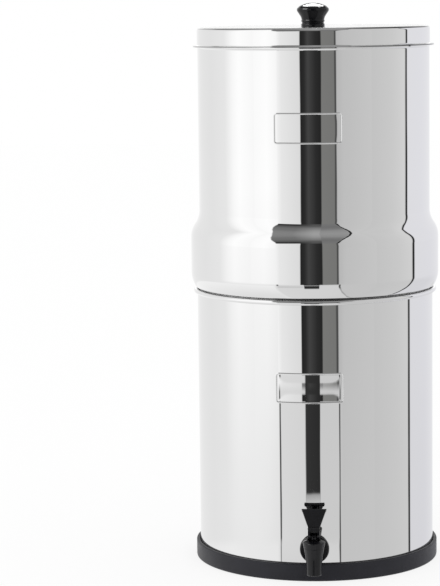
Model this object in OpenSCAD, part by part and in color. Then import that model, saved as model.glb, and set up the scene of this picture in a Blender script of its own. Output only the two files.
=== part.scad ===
// Gravity water filter: two stacked steel chambers, two carbon elements and a lever tap.
// The origin is the middle of the base ring's underside. +Z is up and the tap faces -Y.

/* [Base ring] */
// Height of the rubber ring around the foot
ring_h = 16.6; // [12:0.2:22]
// Thickness of the rubber outside the steel wall
ring_wall = 3.6; // [2.4:0.2:6]
// Thickness of the lip that the steel foot stands on
ring_lip_t = 3; // [2:0.5:5]
// Width of that lip, measured inwards from the steel wall
ring_lip_w = 9; // [6:0.5:14]
// Rounding of the ring's outer edges
ring_edge_r = 1; // [0.4:0.1:1.2]

/* [Lower chamber] */
// Outside diameter of the lower chamber
lower_d = 216; // [196:1:240]
// Height of the lower chamber, from its foot to the top of its rolled rim
lower_h = 248.1; // [225:0.1:290]
// Thickness of the steel sheet of both chambers
wall = 0.8; // [0.6:0.1:1.2]
// How far the rolled rim stands out from the wall
rim_reach = 3.3; // [2.8:0.1:4.5]
// Outside radius of the bottom corner
foot_r = 5; // [3:0.5:6]
// How far the floor is raised above the foot
floor_rise = 6; // [4:0.5:8]
// Width of the foot, measured inwards from the wall
foot_w = 12; // [10:0.5:20]

/* [Upper chamber] */
// Height of the upper chamber above the joint with the lower chamber
upper_h = 220.2; // [215:0.1:270]
// How far its wall is set in from the lower chamber's wall
upper_inset = 3.15; // [2:0.05:6]
// How far the bulge at its bottom stands out past the lower chamber's wall
bulge_reach = 5.35; // [4.5:0.05:8]
// Height of the bulge, from the joint to the start of the shoulder
bulge_h = 48; // [35:0.5:70]
// Height of the curved underside of the bulge
bulge_curve_h = 14.2; // [9:0.1:17]
// Radius of that curve
bulge_curve_r = 26; // [20:0.5:34]
// Height of the S-shaped shoulder above the bulge
shoulder_h = 22; // [16:0.5:34]
// How deep the base of the upper chamber sits inside the lower one
nest_depth = 9; // [6:0.5:14]
// Radial gap between that base and the lower chamber's wall
nest_gap = 0.6; // [0.4:0.1:1.2]
// Radius of the bend under the rim that carries the lid
top_bend_r = 1.8; // [1:0.1:2.5]

/* [Lid] */
// Height of the lid above the rim that it rests on
lid_h = 16.8; // [12:0.1:30]
// Thickness of the lid's sheet
lid_sheet = 0.7; // [0.5:0.1:1]
// How far the lid's side stands out past the upper chamber's wall
lid_reach = 1.05; // [0.8:0.05:2]
// Width of the flange around the lid's side
lid_flange_w = 3.65; // [3.2:0.05:6]
// Drop of the turned-down edge of the flange
lid_curl_h = 1.6; // [1.2:0.1:2.4]
// Radius of the lid's top edge
lid_edge_r = 2.2; // [1.2:0.1:4]

/* [Knob] */
// Height of the knob
knob_h = 21.3; // [16:0.1:30]
// Largest diameter of the knob's head
knob_d = 29.2; // [25:0.1:40]
// Height of the head's widest place above the knob's foot
knob_head_z = 14.9; // [12:0.1:24]
// Diameter of the knob's neck
knob_neck_d = 20.4; // [16:0.1:23]
// Radius of the two rings around the neck
knob_ring_r = 0.7; // [0.5:0.1:1]
// Distance between the two rings
knob_ring_pitch = 3.3; // [2.6:0.1:4]
// Diameter of the knob's screw
knob_screw_d = 5; // [4:0.5:6]
// How far that screw reaches into the knob
knob_screw_l = 11; // [7:0.5:13]

/* [Stamped panels] */
// Width of the stamped frame on each chamber
panel_w = 60; // [40:1:80]
// Height of the stamped frame
panel_h = 26.8; // [18:0.2:36]
// Width of the raised line
panel_line = 1; // [0.8:0.1:2]
// How far the line is raised
panel_raise = 0.4; // [0.2:0.1:0.6]
// Corner radius of the frame
panel_corner_r = 1.8; // [1.2:0.1:4]
// Turn of the frame's middle away from the tap, in degrees
panel_turn = -1.8; // [-8:0.2:8]
// Drop of the upper frame's middle below the lid's seat
upper_panel_drop = 70; // [50:1:90]
// Drop of the lower frame's middle below the rolled rim
lower_panel_drop = 78; // [50:1:110]

/* [Filter elements] */
// Distance between the axes of the two elements
element_pitch = 112; // [96:1:118]
// Diameter of a carbon element
element_d = 68; // [50:1:72]
// Length of a carbon element
element_l = 195; // [150:1:200]
// Diameter of the blind bore in an element
element_bore_d = 20; // [14:1:30]
// Thickness of the closed end above that bore
element_end_t = 18; // [12:1:30]
// Wall of the base cap around an element
cap_wall = 1.6; // [1.2:0.1:2.5]
// Thickness of the base cap's floor
cap_floor = 3; // [2:0.5:5]
// Height of the base cap
cap_h = 10; // [8:0.5:16]
// Outside diameter of the threaded stem
stem_d = 11.5; // [9:0.5:13]
// Diameter of the hole through the stem
stem_bore_d = 5; // [3:0.5:6]
// Length of the stem under the base cap
stem_l = 33; // [26:1:40]
// Distance between the two spare holes that plugs close
plug_pitch = 112; // [100:1:130]
// Diameter of a plug's head
plug_head_d = 20; // [18:0.5:26]
// Length of a plug under its head
plug_l = 20; // [16:1:28]
// Diameter of the sealing washers
seal_d = 24; // [20:0.5:28]
// Thickness of the sealing washers
seal_t = 2; // [1.5:0.1:3]
// Diameter of a wing nut's hub
wing_hub_d = 17; // [16:0.5:20]
// Height of that hub
wing_hub_h = 7; // [6:0.5:9]
// Span of its wings
wing_span = 34; // [28:1:40]
// Thickness of its wings
wing_t = 2.6; // [2:0.1:3.5]

/* [Tap body] */
// Height of the tap's inlet above the top edge of the base ring
tap_rise = 13; // [13:0.2:24]
// Distance from the chamber's wall to the axis of the spout
tap_reach = 27; // [24:0.5:36]
// Diameter of the flange that bears on the wall
flange_d = 25; // [22:0.2:26]
// Thickness of that flange
flange_t = 2; // [1.5:0.1:3]
// Diameter of the threaded shank
shank_d = 16; // [13:0.5:18]
// Length of the shank inside the wall
shank_l = 22; // [18:0.5:30]
// Diameter of the water way from the tank and of the neck's hole
inlet_d = 8; // [6:0.2:8.4]
// Diameter of the neck between flange and body
neck_d = 14; // [12.5:0.5:15]
// Drop of the spout's end below the inlet
spout_drop = 18.6; // [14:0.2:24]
// Outside diameter of the spout's end
spout_d = 12.2; // [11:0.1:13]
// Diameter of the spout's hole
spout_bore_d = 8; // [6:0.2:8.4]
// Drop of the valve seat below the inlet
seat_drop = 4.6; // [4.4:0.1:6]
// Outside diameter of the body at the valve seat
waist_d = 13.6; // [13.4:0.1:15]
// Diameter of the valve chamber
valve_d = 11.2; // [10.4:0.1:11.6]

/* [Tap bonnet and lever] */
// Largest diameter of the bonnet
bonnet_d = 21.8; // [21:0.1:26]
// Diameter of the bonnet's lower edge
bonnet_foot_d = 18.8; // [18.6:0.1:20.6]
// Height of the bonnet's lower edge above the inlet
bonnet_foot_z = 6.8; // [6:0.1:8]
// Height of the bonnet
bonnet_h = 7; // [6.6:0.1:9]
// Diameter of the bonnet's flat top
bonnet_top_d = 13; // [11:0.2:15]
// Diameter of the valve stem
valve_stem_d = 4.4; // [4:0.1:4.8]
// Width across the flats of the stem's eye
eye_w = 3.2; // [2.8:0.1:3.6]
// Diameter of the lever's pin
pin_d = 2; // [1.6:0.1:2.2]
// Diameter of the two cams at the lever's foot
cam_d = 11.2; // [10.4:0.1:12.4]
// How far the lever lifts the valve when it is fully open
valve_lift = 3; // [2:0.1:3.4]
// Width of the lever's foot
lever_foot_w = 9.9; // [8.8:0.1:12]
// Width of the lever at its top
lever_top_w = 22.1; // [16:0.1:28]
// Length of the lever above its pin
lever_l = 26.2; // [22:0.1:36]
// Thickness of the lever's paddle
lever_t = 2.4; // [1.8:0.1:3.2]
// Depth of the bar along the lever's top, on its back
lever_bar_t = 3.6; // [3:0.1:5]
// Lean of the closed lever towards the chamber, in degrees
lever_lean = 33.5; // [15:0.5:36]

/* [Hidden] */

$fn = 96;
arc_steps = 10;           // straight pieces in each rounded stretch of an outline
over = 1;                 // how far a cut runs past the faces that it opens

seat_gap = 0.3;           // upper chamber above the lower chamber's rim
lid_gap = 0.1;            // lid above the upper chamber's rim
lid_side_gap = 0.25;      // lid's turned-down edge around the rim
shank_gap = 0.2;          // tap shank in the chamber's hole
thread_gap = 0.05;        // nut on thread, pin in lever
fixed_gap = 0.02;         // pin in the valve stem, knob screw in the knob
stem_hole_gap = 0.4;      // stems in the upper chamber's floor
element_gap = 0.1;        // element in its base cap
cam_gap = 0.2;            // cams above the bonnet while the tap is closed
seal_gap = 0.05;          // closed seat cup above the valve seat
eye_gap = 0.15;           // lever's cheek beside the stem's eye
cup_wall_gap = 0.4;       // seat cup inside the valve chamber
stem_side_gap = 0.25;     // edge of the lever's slot beside the stem
stem_top_gap = 0.8;       // slot in the lever around the stem's top
screw_end_gap = 1;        // knob's hole past the end of its screw

lower_r = lower_d / 2;
bulge_r = lower_r + bulge_reach;
upper_r = lower_r - upper_inset;
skirt_r = upper_r + lid_reach;
flange_r = skirt_r + lid_flange_w;
lip_edge_r = flange_r - lid_sheet - lid_side_gap;
plug_r = lower_r - wall - nest_gap;

lower_top = ring_lip_t + lower_h;
joint_z = lower_top + seat_gap;
floor_z = joint_z - nest_depth;
floor_top = floor_z + wall;
lid_seat_z = joint_z + upper_h;
lid_top = lid_seat_z + lid_gap + lid_h;
shoulder_z = joint_z + bulge_h;
bead_r = (rim_reach + wall) / 2;
knob_washer_t = 1;

tap_z = ring_h + tap_rise;
tap_y = -(lower_r + tap_reach);
washer_t = 2.5;
washer_d = flange_d + 0.6;
nut_af = shank_d * 1.5;
nut_t = 6;
spout_end = tap_z - spout_drop;
valve_seat_z = tap_z - seat_drop;
bonnet_foot = tap_z + bonnet_foot_z;
bonnet_top = bonnet_foot + bonnet_h;
thread_d = bonnet_foot_d - 2;
bonnet_roof_t = 2;
body_top = bonnet_top - bonnet_roof_t;
cam_shift = valve_lift;
pin_z = bonnet_top + cam_gap + cam_d / 2 - cam_shift;
eye_rise = 2.2;
cup_h = 8.5;
cup_r = valve_d / 2 - cup_wall_gap;
barb_r = 3;
barb_t = 2;
barb_z = valve_seat_z + seal_gap + barb_t;

steel = [0.80, 0.80, 0.79];
black_plastic = [0.06, 0.06, 0.065];
ring_rubber = [0.11, 0.11, 0.13];
silicone = [0.82, 0.82, 0.80];
carbon = [0.10, 0.10, 0.11];
cap_plastic = [0.16, 0.20, 0.34];
seal_rubber = [0.10, 0.10, 0.10];
zinc_steel = [0.66, 0.67, 0.68];

// Points of an arc about c, from angle a0 to angle a1
function arc(c, r, a0, a1, n = arc_steps) =
    [for (i = [0:n]) c + r * [cos(a0 + (a1 - a0) * i / n), sin(a0 + (a1 - a0) * i / n)]];

// Direction to the left of the way from p to q
function left_of(p, q) = let (u = (q - p) / norm(q - p)) [-u[1], u[0]];

// An open path moved to its left by t, with mitred corners
function shifted(path, t) =
    [for (i = [0:len(path) - 1])
        let (a = left_of(path[max(i - 1, 0)], path[max(i, 1)]),
             b = left_of(path[min(i, len(path) - 2)], path[min(i + 1, len(path) - 1)]),
             m = (a + b) / norm(a + b))
        path[i] + m * t / (m * a)];

// Closed outline of a sheet of thickness t on the left of a path
function sheet(path, t) = let (s = shifted(path, t), n = len(s)) concat(path, [for (i = [1:n]) s[n - i]]);

// Outer surface of the lower chamber, from the middle of its floor to the end of its rolled rim
function lower_path() =
    let (rise = ring_lip_t + floor_rise, foot_in = lower_r - foot_w,
         bead = [lower_r + bead_r - wall, lower_top - bead_r])
    concat([[0, rise], [foot_in - floor_rise, rise], [foot_in, ring_lip_t]],
           arc([lower_r - foot_r, ring_lip_t + foot_r], foot_r, -90, 0),
           arc(bead, bead_r - wall, 180, -90, 2 * arc_steps));

// Outer surface of the upper chamber, from the middle of its floor to the edge that carries the lid
function upper_path() =
    let (base_r = 4, step_r = 0.4, bend_z = lid_seat_z - wall - top_bend_r,
         curve_start = -asin(bulge_curve_h / bulge_curve_r), inset = bulge_r - upper_r,
         tilt = 2 * atan(inset / shoulder_h), s_r = shoulder_h / (2 * sin(tilt)))
    concat([[0, floor_z]],
           arc([plug_r - base_r, floor_z + base_r], base_r, -90, 0),
           arc([plug_r + step_r, joint_z - step_r], step_r, 180, 90, 4),
           arc([bulge_r - bulge_curve_r, joint_z + bulge_curve_h], bulge_curve_r, curve_start, 0),
           arc([bulge_r - s_r, shoulder_z], s_r, 0, tilt),
           [for (p = arc([upper_r + s_r, shoulder_z + shoulder_h], s_r, 180 + tilt, 180))
               if (p[0] < bulge_r - inset / 2) p],
           arc([upper_r + top_bend_r, bend_z], top_bend_r, 180, 90),
           [[lip_edge_r, lid_seat_z - wall]]);

// Outer surface of the lid, from its turned-down edge to the middle of its top
function lid_path() =
    let (fold_r = 0.8, bend_r = 1, flange_top = lid_seat_z + lid_gap + lid_sheet)
    concat([[flange_r, flange_top - lid_curl_h]],
           arc([flange_r - fold_r, flange_top - fold_r], fold_r, 0, 90, 5),
           arc([skirt_r + bend_r, flange_top + bend_r], bend_r, 270, 180, 5),
           arc([skirt_r - lid_edge_r, lid_top - lid_edge_r], lid_edge_r, 0, 90),
           [[0, lid_top]]);

// Outline of the knob, from its foot up its side to the middle of its crown
function knob_path() =
    let (neck = knob_neck_d / 2, head = knob_d / 2, head_edge_r = 2.6, foot_h = 0.1,
         low = foot_h + 2 * knob_ring_r, high = low + knob_ring_pitch, waist = high + 2 * knob_ring_r,
         under = knob_head_z - head_edge_r, crown_h = knob_h - knob_head_z)
    concat([[0, 0], [neck + 0.7 * knob_ring_r, 0]],
           arc([neck + 0.2, low], knob_ring_r, -60, 60, 4),
           arc([neck + 0.2, (low + high) / 2], -knob_ring_r, 60, -60, 4),
           arc([neck + 0.1, high], knob_ring_r, -60, 60, 4),
           [[neck - 0.2, waist], [neck, waist + (under - waist) * 0.36],
            [neck + (head - neck) * 0.45, waist + (under - waist) * 0.77]],
           arc([head - head_edge_r, knob_head_z], head_edge_r, -40, 55, 6),
           [[head * 0.79, knob_head_z + crown_h * 0.58], [head * 0.5, knob_head_z + crown_h * 0.85],
            [0, knob_h]]);

module rounded_square(w, h, r) {
    square([w - 2 * r, h], center = true);
    square([w, h - 2 * r], center = true);
    for (x = [-1, 1], y = [-1, 1])
        translate([x * (w / 2 - r), y * (h / 2 - r)])
            circle(r = r);
}

// Raised line of a stamped frame on a wall of radius r, with its middle at height z
module stamped_frame(r, z) {
    rotate([0, 0, panel_turn])
        intersection() {
            translate([0, -r / 2, z])
                rotate([90, 0, 0])
                    linear_extrude(r)
                        difference() {
                            rounded_square(panel_w, panel_h, panel_corner_r);
                            rounded_square(panel_w - 2 * panel_line, panel_h - 2 * panel_line,
                                           panel_corner_r - panel_line);
                        }
            translate([0, 0, z - panel_h])
                difference() {
                    cylinder(r = r + panel_raise, h = 2 * panel_h);
                    translate([0, 0, -over])
                        cylinder(r = r - wall / 2, h = 2 * panel_h + 2 * over);
                }
        }
}

module revolve(points) {
    rotate_extrude()
        polygon(points);
}

module base_ring() {
    outer = lower_r + ring_wall;
    inner = lower_r + fixed_gap;
    color(ring_rubber)
        revolve(concat([[lower_r - ring_lip_w, 0]],
                       arc([outer - ring_edge_r, ring_edge_r], ring_edge_r, -90, 0, 4),
                       arc([outer - ring_edge_r, ring_h - ring_edge_r], ring_edge_r, 0, 60, 4),
                       [[inner, ring_h], [inner, ring_lip_t], [lower_r - ring_lip_w, ring_lip_t]]));
}

module lower_chamber() {
    color(steel)
        difference() {
            union() {
                revolve(sheet(lower_path(), wall));
                stamped_frame(lower_r, lower_top - lower_panel_drop);
            }
            translate([0, -lower_r / 2, tap_z])
                rotate([90, 0, 0])
                    cylinder(d = shank_d + 2 * shank_gap, h = lower_r);
        }
}

// Places something at the four holes in the upper chamber's floor, or at two of them
module at_elements(sides = [-1, 1]) {
    for (side = sides)
        translate([side * element_pitch / 2, 0, 0])
            children();
}

module at_plugs() {
    for (side = [-1, 1])
        translate([0, side * plug_pitch / 2, 0])
            children();
}

module upper_chamber() {
    hole_d = stem_d + 2 * stem_hole_gap;
    color(steel)
        difference() {
            union() {
                revolve(sheet(upper_path(), wall));
                stamped_frame(upper_r, lid_seat_z - upper_panel_drop);
            }
            translate([0, 0, floor_z - over]) {
                at_elements()
                    cylinder(d = hole_d, h = wall + 2 * over);
                at_plugs()
                    cylinder(d = hole_d, h = wall + 2 * over);
            }
        }
}

module lid() {
    color(steel)
        difference() {
            revolve(sheet(lid_path(), lid_sheet));
            translate([0, 0, lid_top - lid_sheet - over])
                cylinder(d = knob_screw_d + 2 * stem_hole_gap, h = lid_sheet + 2 * over);
        }
}

module lid_knob() {
    color(black_plastic)
        translate([0, 0, lid_top])
            difference() {
                revolve(knob_path());
                translate([0, 0, -over])
                    cylinder(d = knob_screw_d + 2 * fixed_gap, h = over + knob_screw_l + screw_end_gap);
            }
}

module knob_washer() {
    color(zinc_steel)
        translate([0, 0, lid_top - lid_sheet - knob_washer_t])
            difference() {
                cylinder(d = knob_screw_d * 2.4, h = knob_washer_t);
                translate([0, 0, -over])
                    cylinder(d = knob_screw_d + 2 * stem_hole_gap, h = knob_washer_t + 2 * over);
            }
}

module knob_screw() {
    head_h = knob_screw_d * 0.6;
    head_z = lid_top - lid_sheet - knob_washer_t - head_h;
    slot_w = 1.2;
    color(zinc_steel)
        difference() {
            union() {
                translate([0, 0, head_z])
                    cylinder(d = knob_screw_d * 1.9, h = head_h);
                translate([0, 0, head_z])
                    cylinder(d = knob_screw_d, h = lid_top + knob_screw_l - head_z);
            }
            translate([-knob_screw_d, -slot_w / 2, head_z - over])
                cube([2 * knob_screw_d, slot_w, over + head_h / 2]);
        }
}

module carbon_element() {
    edge_r = 4;
    bottom = floor_top + seal_t + cap_floor;
    color(carbon)
        translate([0, 0, bottom])
            revolve(concat([[element_bore_d / 2, 0], [element_d / 2, 0]],
                           arc([element_d / 2 - edge_r, element_l - edge_r], edge_r, 0, 90),
                           [[0, element_l], [0, element_l - element_end_t],
                            [element_bore_d / 2, element_l - element_end_t]]));
}

module carbon_element_left() {
    at_elements([-1])
        carbon_element();
}

module carbon_element_right() {
    at_elements([1])
        carbon_element();
}

// Base cap of an element, in one piece with the hollow stem that goes through the floor
module element_base() {
    outer_r = element_d / 2 + element_gap + cap_wall;
    color(cap_plastic)
        translate([0, 0, floor_top + seal_t])
            difference() {
                union() {
                    cylinder(r = outer_r, h = cap_h);
                    translate([0, 0, -stem_l])
                        cylinder(d = stem_d, h = stem_l + cap_floor / 2);
                }
                translate([0, 0, cap_floor])
                    cylinder(d = element_d + 2 * element_gap, h = cap_h);
                translate([0, 0, -stem_l - over])
                    cylinder(d = stem_bore_d, h = stem_l + cap_h);
            }
}

module element_base_left() {
    at_elements([-1])
        element_base();
}

module element_base_right() {
    at_elements([1])
        element_base();
}

module seal() {
    color(seal_rubber)
        translate([0, 0, floor_top])
            difference() {
                cylinder(d = seal_d, h = seal_t);
                translate([0, 0, -over])
                    cylinder(d = stem_d + 2 * thread_gap, h = seal_t + 2 * over);
            }
}

module element_seal_left() {
    at_elements([-1])
        seal();
}

module element_seal_right() {
    at_elements([1])
        seal();
}

module plug_seals() {
    at_plugs()
        seal();
}

// Nut with two round wings, under the floor of the upper chamber
module wing_nut() {
    wing_r = wing_hub_h * 0.8;
    color(black_plastic)
        translate([0, 0, floor_z - wing_hub_h])
            difference() {
                union() {
                    cylinder(d = wing_hub_d, h = wing_hub_h);
                    for (side = [-1, 1])
                        translate([side * (wing_span / 2 - wing_r), wing_t / 2, wing_hub_h - wing_r])
                            rotate([90, 0, 0])
                                cylinder(r = wing_r, h = wing_t);
                    translate([wing_r - wing_span / 2, -wing_t / 2, 0])
                        cube([wing_span - 2 * wing_r, wing_t, wing_hub_h]);
                }
                translate([0, 0, -wing_r])
                    cylinder(d = stem_d + 2 * thread_gap, h = wing_hub_h + 2 * wing_r);
            }
}

module element_wing_nut_left() {
    at_elements([-1])
        wing_nut();
}

module element_wing_nut_right() {
    at_elements([1])
        wing_nut();
}

module plug_wing_nuts() {
    at_plugs()
        wing_nut();
}

module hole_plugs() {
    head_h = 4;
    crown_h = 1.2;
    color(black_plastic)
        at_plugs()
            translate([0, 0, floor_top + seal_t]) {
                revolve([[0, 0], [plug_head_d / 2, 0], [plug_head_d / 2, head_h - crown_h],
                         [plug_head_d / 2 - crown_h, head_h], [0, head_h]]);
                translate([0, 0, -plug_l])
                    cylinder(d = stem_d, h = plug_l + crown_h);
            }
}

// A cylinder along Y between two distances from the filter's axis, at the height of the inlet
module inlet_cylinder(d, near, far) {
    translate([0, -near, tap_z])
        rotate([90, 0, 0])
            cylinder(d = d, h = far - near);
}

module tap_body() {
    face = lower_r + washer_t;
    edge = 0.5;
    color(black_plastic)
        difference() {
            union() {
                translate([0, tap_y, 0])
                    revolve([[0, spout_end], [spout_d / 2 - edge, spout_end], [spout_d / 2, spout_end + edge],
                             [waist_d / 2, valve_seat_z], [bonnet_foot_d / 2 - 0.1, bonnet_foot],
                             [thread_d / 2, bonnet_foot], [thread_d / 2, body_top], [0, body_top]]);
                inlet_cylinder(neck_d, face, lower_r + tap_reach);
                inlet_cylinder(flange_d, face, face + flange_t);
                inlet_cylinder(shank_d, lower_r - wall - shank_l, face + flange_t / 2);
            }
            inlet_cylinder(inlet_d, lower_r - wall - shank_l - over, lower_r + tap_reach);
            translate([0, tap_y, 0]) {
                translate([0, 0, valve_seat_z])
                    cylinder(d = valve_d, h = body_top - valve_seat_z + over);
                translate([0, 0, spout_end - over])
                    cylinder(d = spout_bore_d, h = spout_drop + over);
            }
        }
}

module tap_bonnet() {
    lip = 0.6;
    slope_h = bonnet_h * 0.18;
    color(black_plastic)
        translate([0, tap_y, 0])
            difference() {
                revolve([[0, bonnet_foot], [bonnet_foot_d / 2, bonnet_foot],
                         [bonnet_d / 2, bonnet_top - slope_h - 2 * lip],
                         [bonnet_d / 2, bonnet_top - slope_h - lip],
                         [bonnet_d / 2 - lip, bonnet_top - slope_h],
                         [bonnet_top_d / 2, bonnet_top], [0, bonnet_top]]);
                translate([0, 0, bonnet_foot - over])
                    cylinder(d = thread_d + 2 * thread_gap, h = over + body_top - bonnet_foot);
                translate([0, 0, bonnet_foot])
                    cylinder(d = valve_stem_d + 2 * thread_gap, h = 2 * bonnet_h);
            }
}

// The lever stands on its pin: cams and cheeks at the foot, then a paddle that leans back
module tap_lever() {
    slot_w = eye_w + 2 * eye_gap;
    slot_r = norm([valve_stem_d / 2, eye_rise]) + stem_top_gap;
    stem_way = valve_stem_d / 2 + stem_side_gap;
    far = 3 * cam_d;
    flare_z = 8;
    neck_t = 4.6;
    rib_w = 6;
    bar_h = 3;
    step = 0.3;
    root_w = lever_foot_w / 2 - step;
    color(black_plastic)
        translate([0, tap_y, pin_z])
            difference() {
                union() {
                    translate([-lever_foot_w / 2, 0, 0])
                        rotate([90, 0, 90])
                            linear_extrude(lever_foot_w) {
                                translate([0, cam_shift])
                                    circle(d = cam_d);
                                rotate(-lever_lean)
                                    translate([-neck_t / 2, cam_shift])
                                        square([neck_t, flare_z - cam_shift]);
                            }
                    rotate([-lever_lean, 0, 0]) {
                        translate([0, lever_t / 2, 0])
                            rotate([90, 0, 0])
                                linear_extrude(lever_t)
                                    polygon([[-root_w, cam_shift], [root_w, cam_shift], [root_w, flare_z],
                                             [lever_top_w / 2, lever_l], [-lever_top_w / 2, lever_l],
                                             [-root_w, flare_z]]);
                        translate([-rib_w / 2, 0, cam_shift])
                            cube([rib_w, lever_bar_t - lever_t / 2 - step, lever_l - cam_shift - bar_h / 2]);
                        translate([step - lever_top_w / 2, 0, lever_l - bar_h])
                            cube([lever_top_w - 2 * step, lever_bar_t, bar_h - step]);
                    }
                }
                translate([-slot_w / 2, 0, 0])
                    rotate([0, 90, 0])
                        cylinder(r = slot_r, h = slot_w);
                translate([-slot_w / 2, stem_way - far, stem_way - far])
                    cube([slot_w, far, far]);
                translate([-lever_foot_w, 0, 0])
                    rotate([0, 90, 0])
                        cylinder(d = pin_d + 2 * thread_gap, h = 2 * lever_foot_w);
            }
}

module lever_pin() {
    color(zinc_steel)
        translate([-lever_foot_w / 2, tap_y, pin_z])
            rotate([0, 90, 0])
                cylinder(d = pin_d, h = lever_foot_w);
}

// The stem's flats reach down past the sweep of the cams
module valve_stem() {
    flat_z = pin_z - cam_d / 2 - cam_gap;
    stem_top = pin_z + eye_rise;
    color(black_plastic)
        translate([0, tap_y, 0])
            difference() {
                union() {
                    translate([0, 0, barb_z])
                        cylinder(r = barb_r, h = barb_t);
                    translate([0, 0, barb_z])
                        cylinder(d = valve_stem_d, h = stem_top - barb_z);
                }
                for (side = [-1, 1])
                    translate([side * (eye_w / 2 + valve_stem_d / 2), 0, flat_z + stem_top / 2])
                        cube([valve_stem_d, 2 * valve_stem_d, stem_top], center = true);
                translate([-valve_stem_d, 0, pin_z])
                    rotate([0, 90, 0])
                        cylinder(d = pin_d + 2 * fixed_gap, h = 2 * valve_stem_d);
            }
}

module seat_cup() {
    bottom = valve_seat_z + seal_gap;
    color(silicone)
        translate([0, tap_y, bottom])
            difference() {
                revolve([[0, 0], [cup_r - 0.6, 0], [cup_r, 0.6], [cup_r, 2], [cup_r - 1.4, 3.4],
                         [cup_r - 1.4, cup_h - 2], [cup_r, cup_h - 1.2], [cup_r, cup_h], [0, cup_h]]);
                translate([0, 0, barb_z - bottom - fixed_gap])
                    cylinder(r = barb_r + fixed_gap, h = barb_t + 2 * fixed_gap);
                translate([0, 0, barb_z - bottom])
                    cylinder(d = valve_stem_d + 2 * fixed_gap, h = cup_h);
            }
}

// Rubber washer outside the wall, curved to fit it
module tap_outer_washer() {
    color(seal_rubber)
        difference() {
            inlet_cylinder(washer_d, lower_r - washer_t, lower_r + washer_t);
            inlet_cylinder(shank_d + 2 * thread_gap, lower_r - 2 * washer_t, lower_r + 2 * washer_t);
            translate([0, 0, tap_z - washer_d])
                cylinder(r = lower_r + fixed_gap, h = 2 * washer_d, $fn = 720);
        }
}

// Rubber washer inside the wall, between it and the nut
module tap_inner_washer() {
    inner = lower_r - wall - fixed_gap;
    color(seal_rubber)
        intersection() {
            difference() {
                inlet_cylinder(nut_af, inner - washer_t, lower_r);
                inlet_cylinder(shank_d + 2 * thread_gap, inner - 2 * washer_t, lower_r + washer_t);
            }
            translate([0, 0, tap_z - nut_af])
                cylinder(r = inner, h = 2 * nut_af, $fn = 720);
        }
}

module tap_nut() {
    far = lower_r - wall - fixed_gap - washer_t;
    color(black_plastic)
        translate([0, -far, tap_z])
            rotate([-90, 0, 0])
                difference() {
                    cylinder(d = nut_af / cos(30), h = nut_t, $fn = 6);
                    translate([0, 0, -over])
                        cylinder(d = shank_d + 2 * thread_gap, h = nut_t + 2 * over);
                }
}

base_ring();
lower_chamber();
upper_chamber();
lid();
lid_knob();
knob_washer();
knob_screw();
carbon_element_left();
carbon_element_right();
element_base_left();
element_base_right();
element_seal_left();
element_seal_right();
element_wing_nut_left();
element_wing_nut_right();
hole_plugs();
plug_seals();
plug_wing_nuts();
tap_body();
tap_bonnet();
tap_lever();
lever_pin();
valve_stem();
seat_cup();
tap_outer_washer();
tap_inner_washer();
tap_nut();
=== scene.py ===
import math
from types import SimpleNamespace

import bmesh
import bpy
from mathutils import Matrix, Vector


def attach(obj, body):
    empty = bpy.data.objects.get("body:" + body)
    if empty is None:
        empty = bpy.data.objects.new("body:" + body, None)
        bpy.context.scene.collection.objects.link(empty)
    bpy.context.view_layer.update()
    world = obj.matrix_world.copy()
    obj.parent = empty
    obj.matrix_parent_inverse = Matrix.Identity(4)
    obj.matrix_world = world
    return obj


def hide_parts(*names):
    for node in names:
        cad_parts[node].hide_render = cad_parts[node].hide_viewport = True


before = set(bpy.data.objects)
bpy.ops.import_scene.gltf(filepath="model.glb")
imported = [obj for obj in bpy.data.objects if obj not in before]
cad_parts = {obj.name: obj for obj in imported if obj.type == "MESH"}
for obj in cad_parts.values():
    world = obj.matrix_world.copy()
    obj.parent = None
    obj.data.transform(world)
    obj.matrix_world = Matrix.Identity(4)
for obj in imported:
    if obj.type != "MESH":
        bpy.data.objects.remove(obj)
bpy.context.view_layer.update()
print("frame loaded")

# all sizes below are in millimetres, seen from the middle of the base ring's underside
mm = 0.001


def sizes(values):
    return SimpleNamespace(**values)


# outlines: lists of (radius, height) points

def arc(center, radius, start, end, steps):
    points = []
    for i in range(steps + 1):
        angle = math.radians(start + (end - start) * i / steps)
        points.append((center[0] + radius * math.cos(angle), center[1] + radius * math.sin(angle)))
    return points


def clean(path, least=0.002):
    kept = [path[0]]
    for point in path[1:]:
        if math.dist(point, kept[-1]) > least:
            kept.append(point)
    return kept


def leftOf(p, q):
    length = math.dist(p, q)
    return (-(q[1] - p[1]) / length, (q[0] - p[0]) / length)


def shifted(path, distance):
    moved = []
    last = len(path) - 1
    for i, point in enumerate(path):
        a = leftOf(path[max(i - 1, 0)], path[max(i, 1)])
        b = leftOf(path[min(i, last - 1)], path[min(i + 1, last)])
        mx, my = a[0] + b[0], a[1] + b[1]
        scale = distance / (mx * a[0] + my * a[1])
        moved.append((point[0] + mx * scale, point[1] + my * scale))
    return moved


def supported(path, gap=0.3):
    # points close to both ends of a long straight keep the bends' shading off it
    result = [path[0]]
    for p, q in zip(path, path[1:]):
        length = math.dist(p, q)
        if length > 5 * gap:
            for t in (gap / length, 1 - gap / length):
                result.append((p[0] + (q[0] - p[0]) * t, p[1] + (q[1] - p[1]) * t))
        result.append(q)
    return result


def sheetOutline(path, thickness):
    path = supported(clean(path))
    return path + shifted(path, thickness)[::-1]


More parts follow.
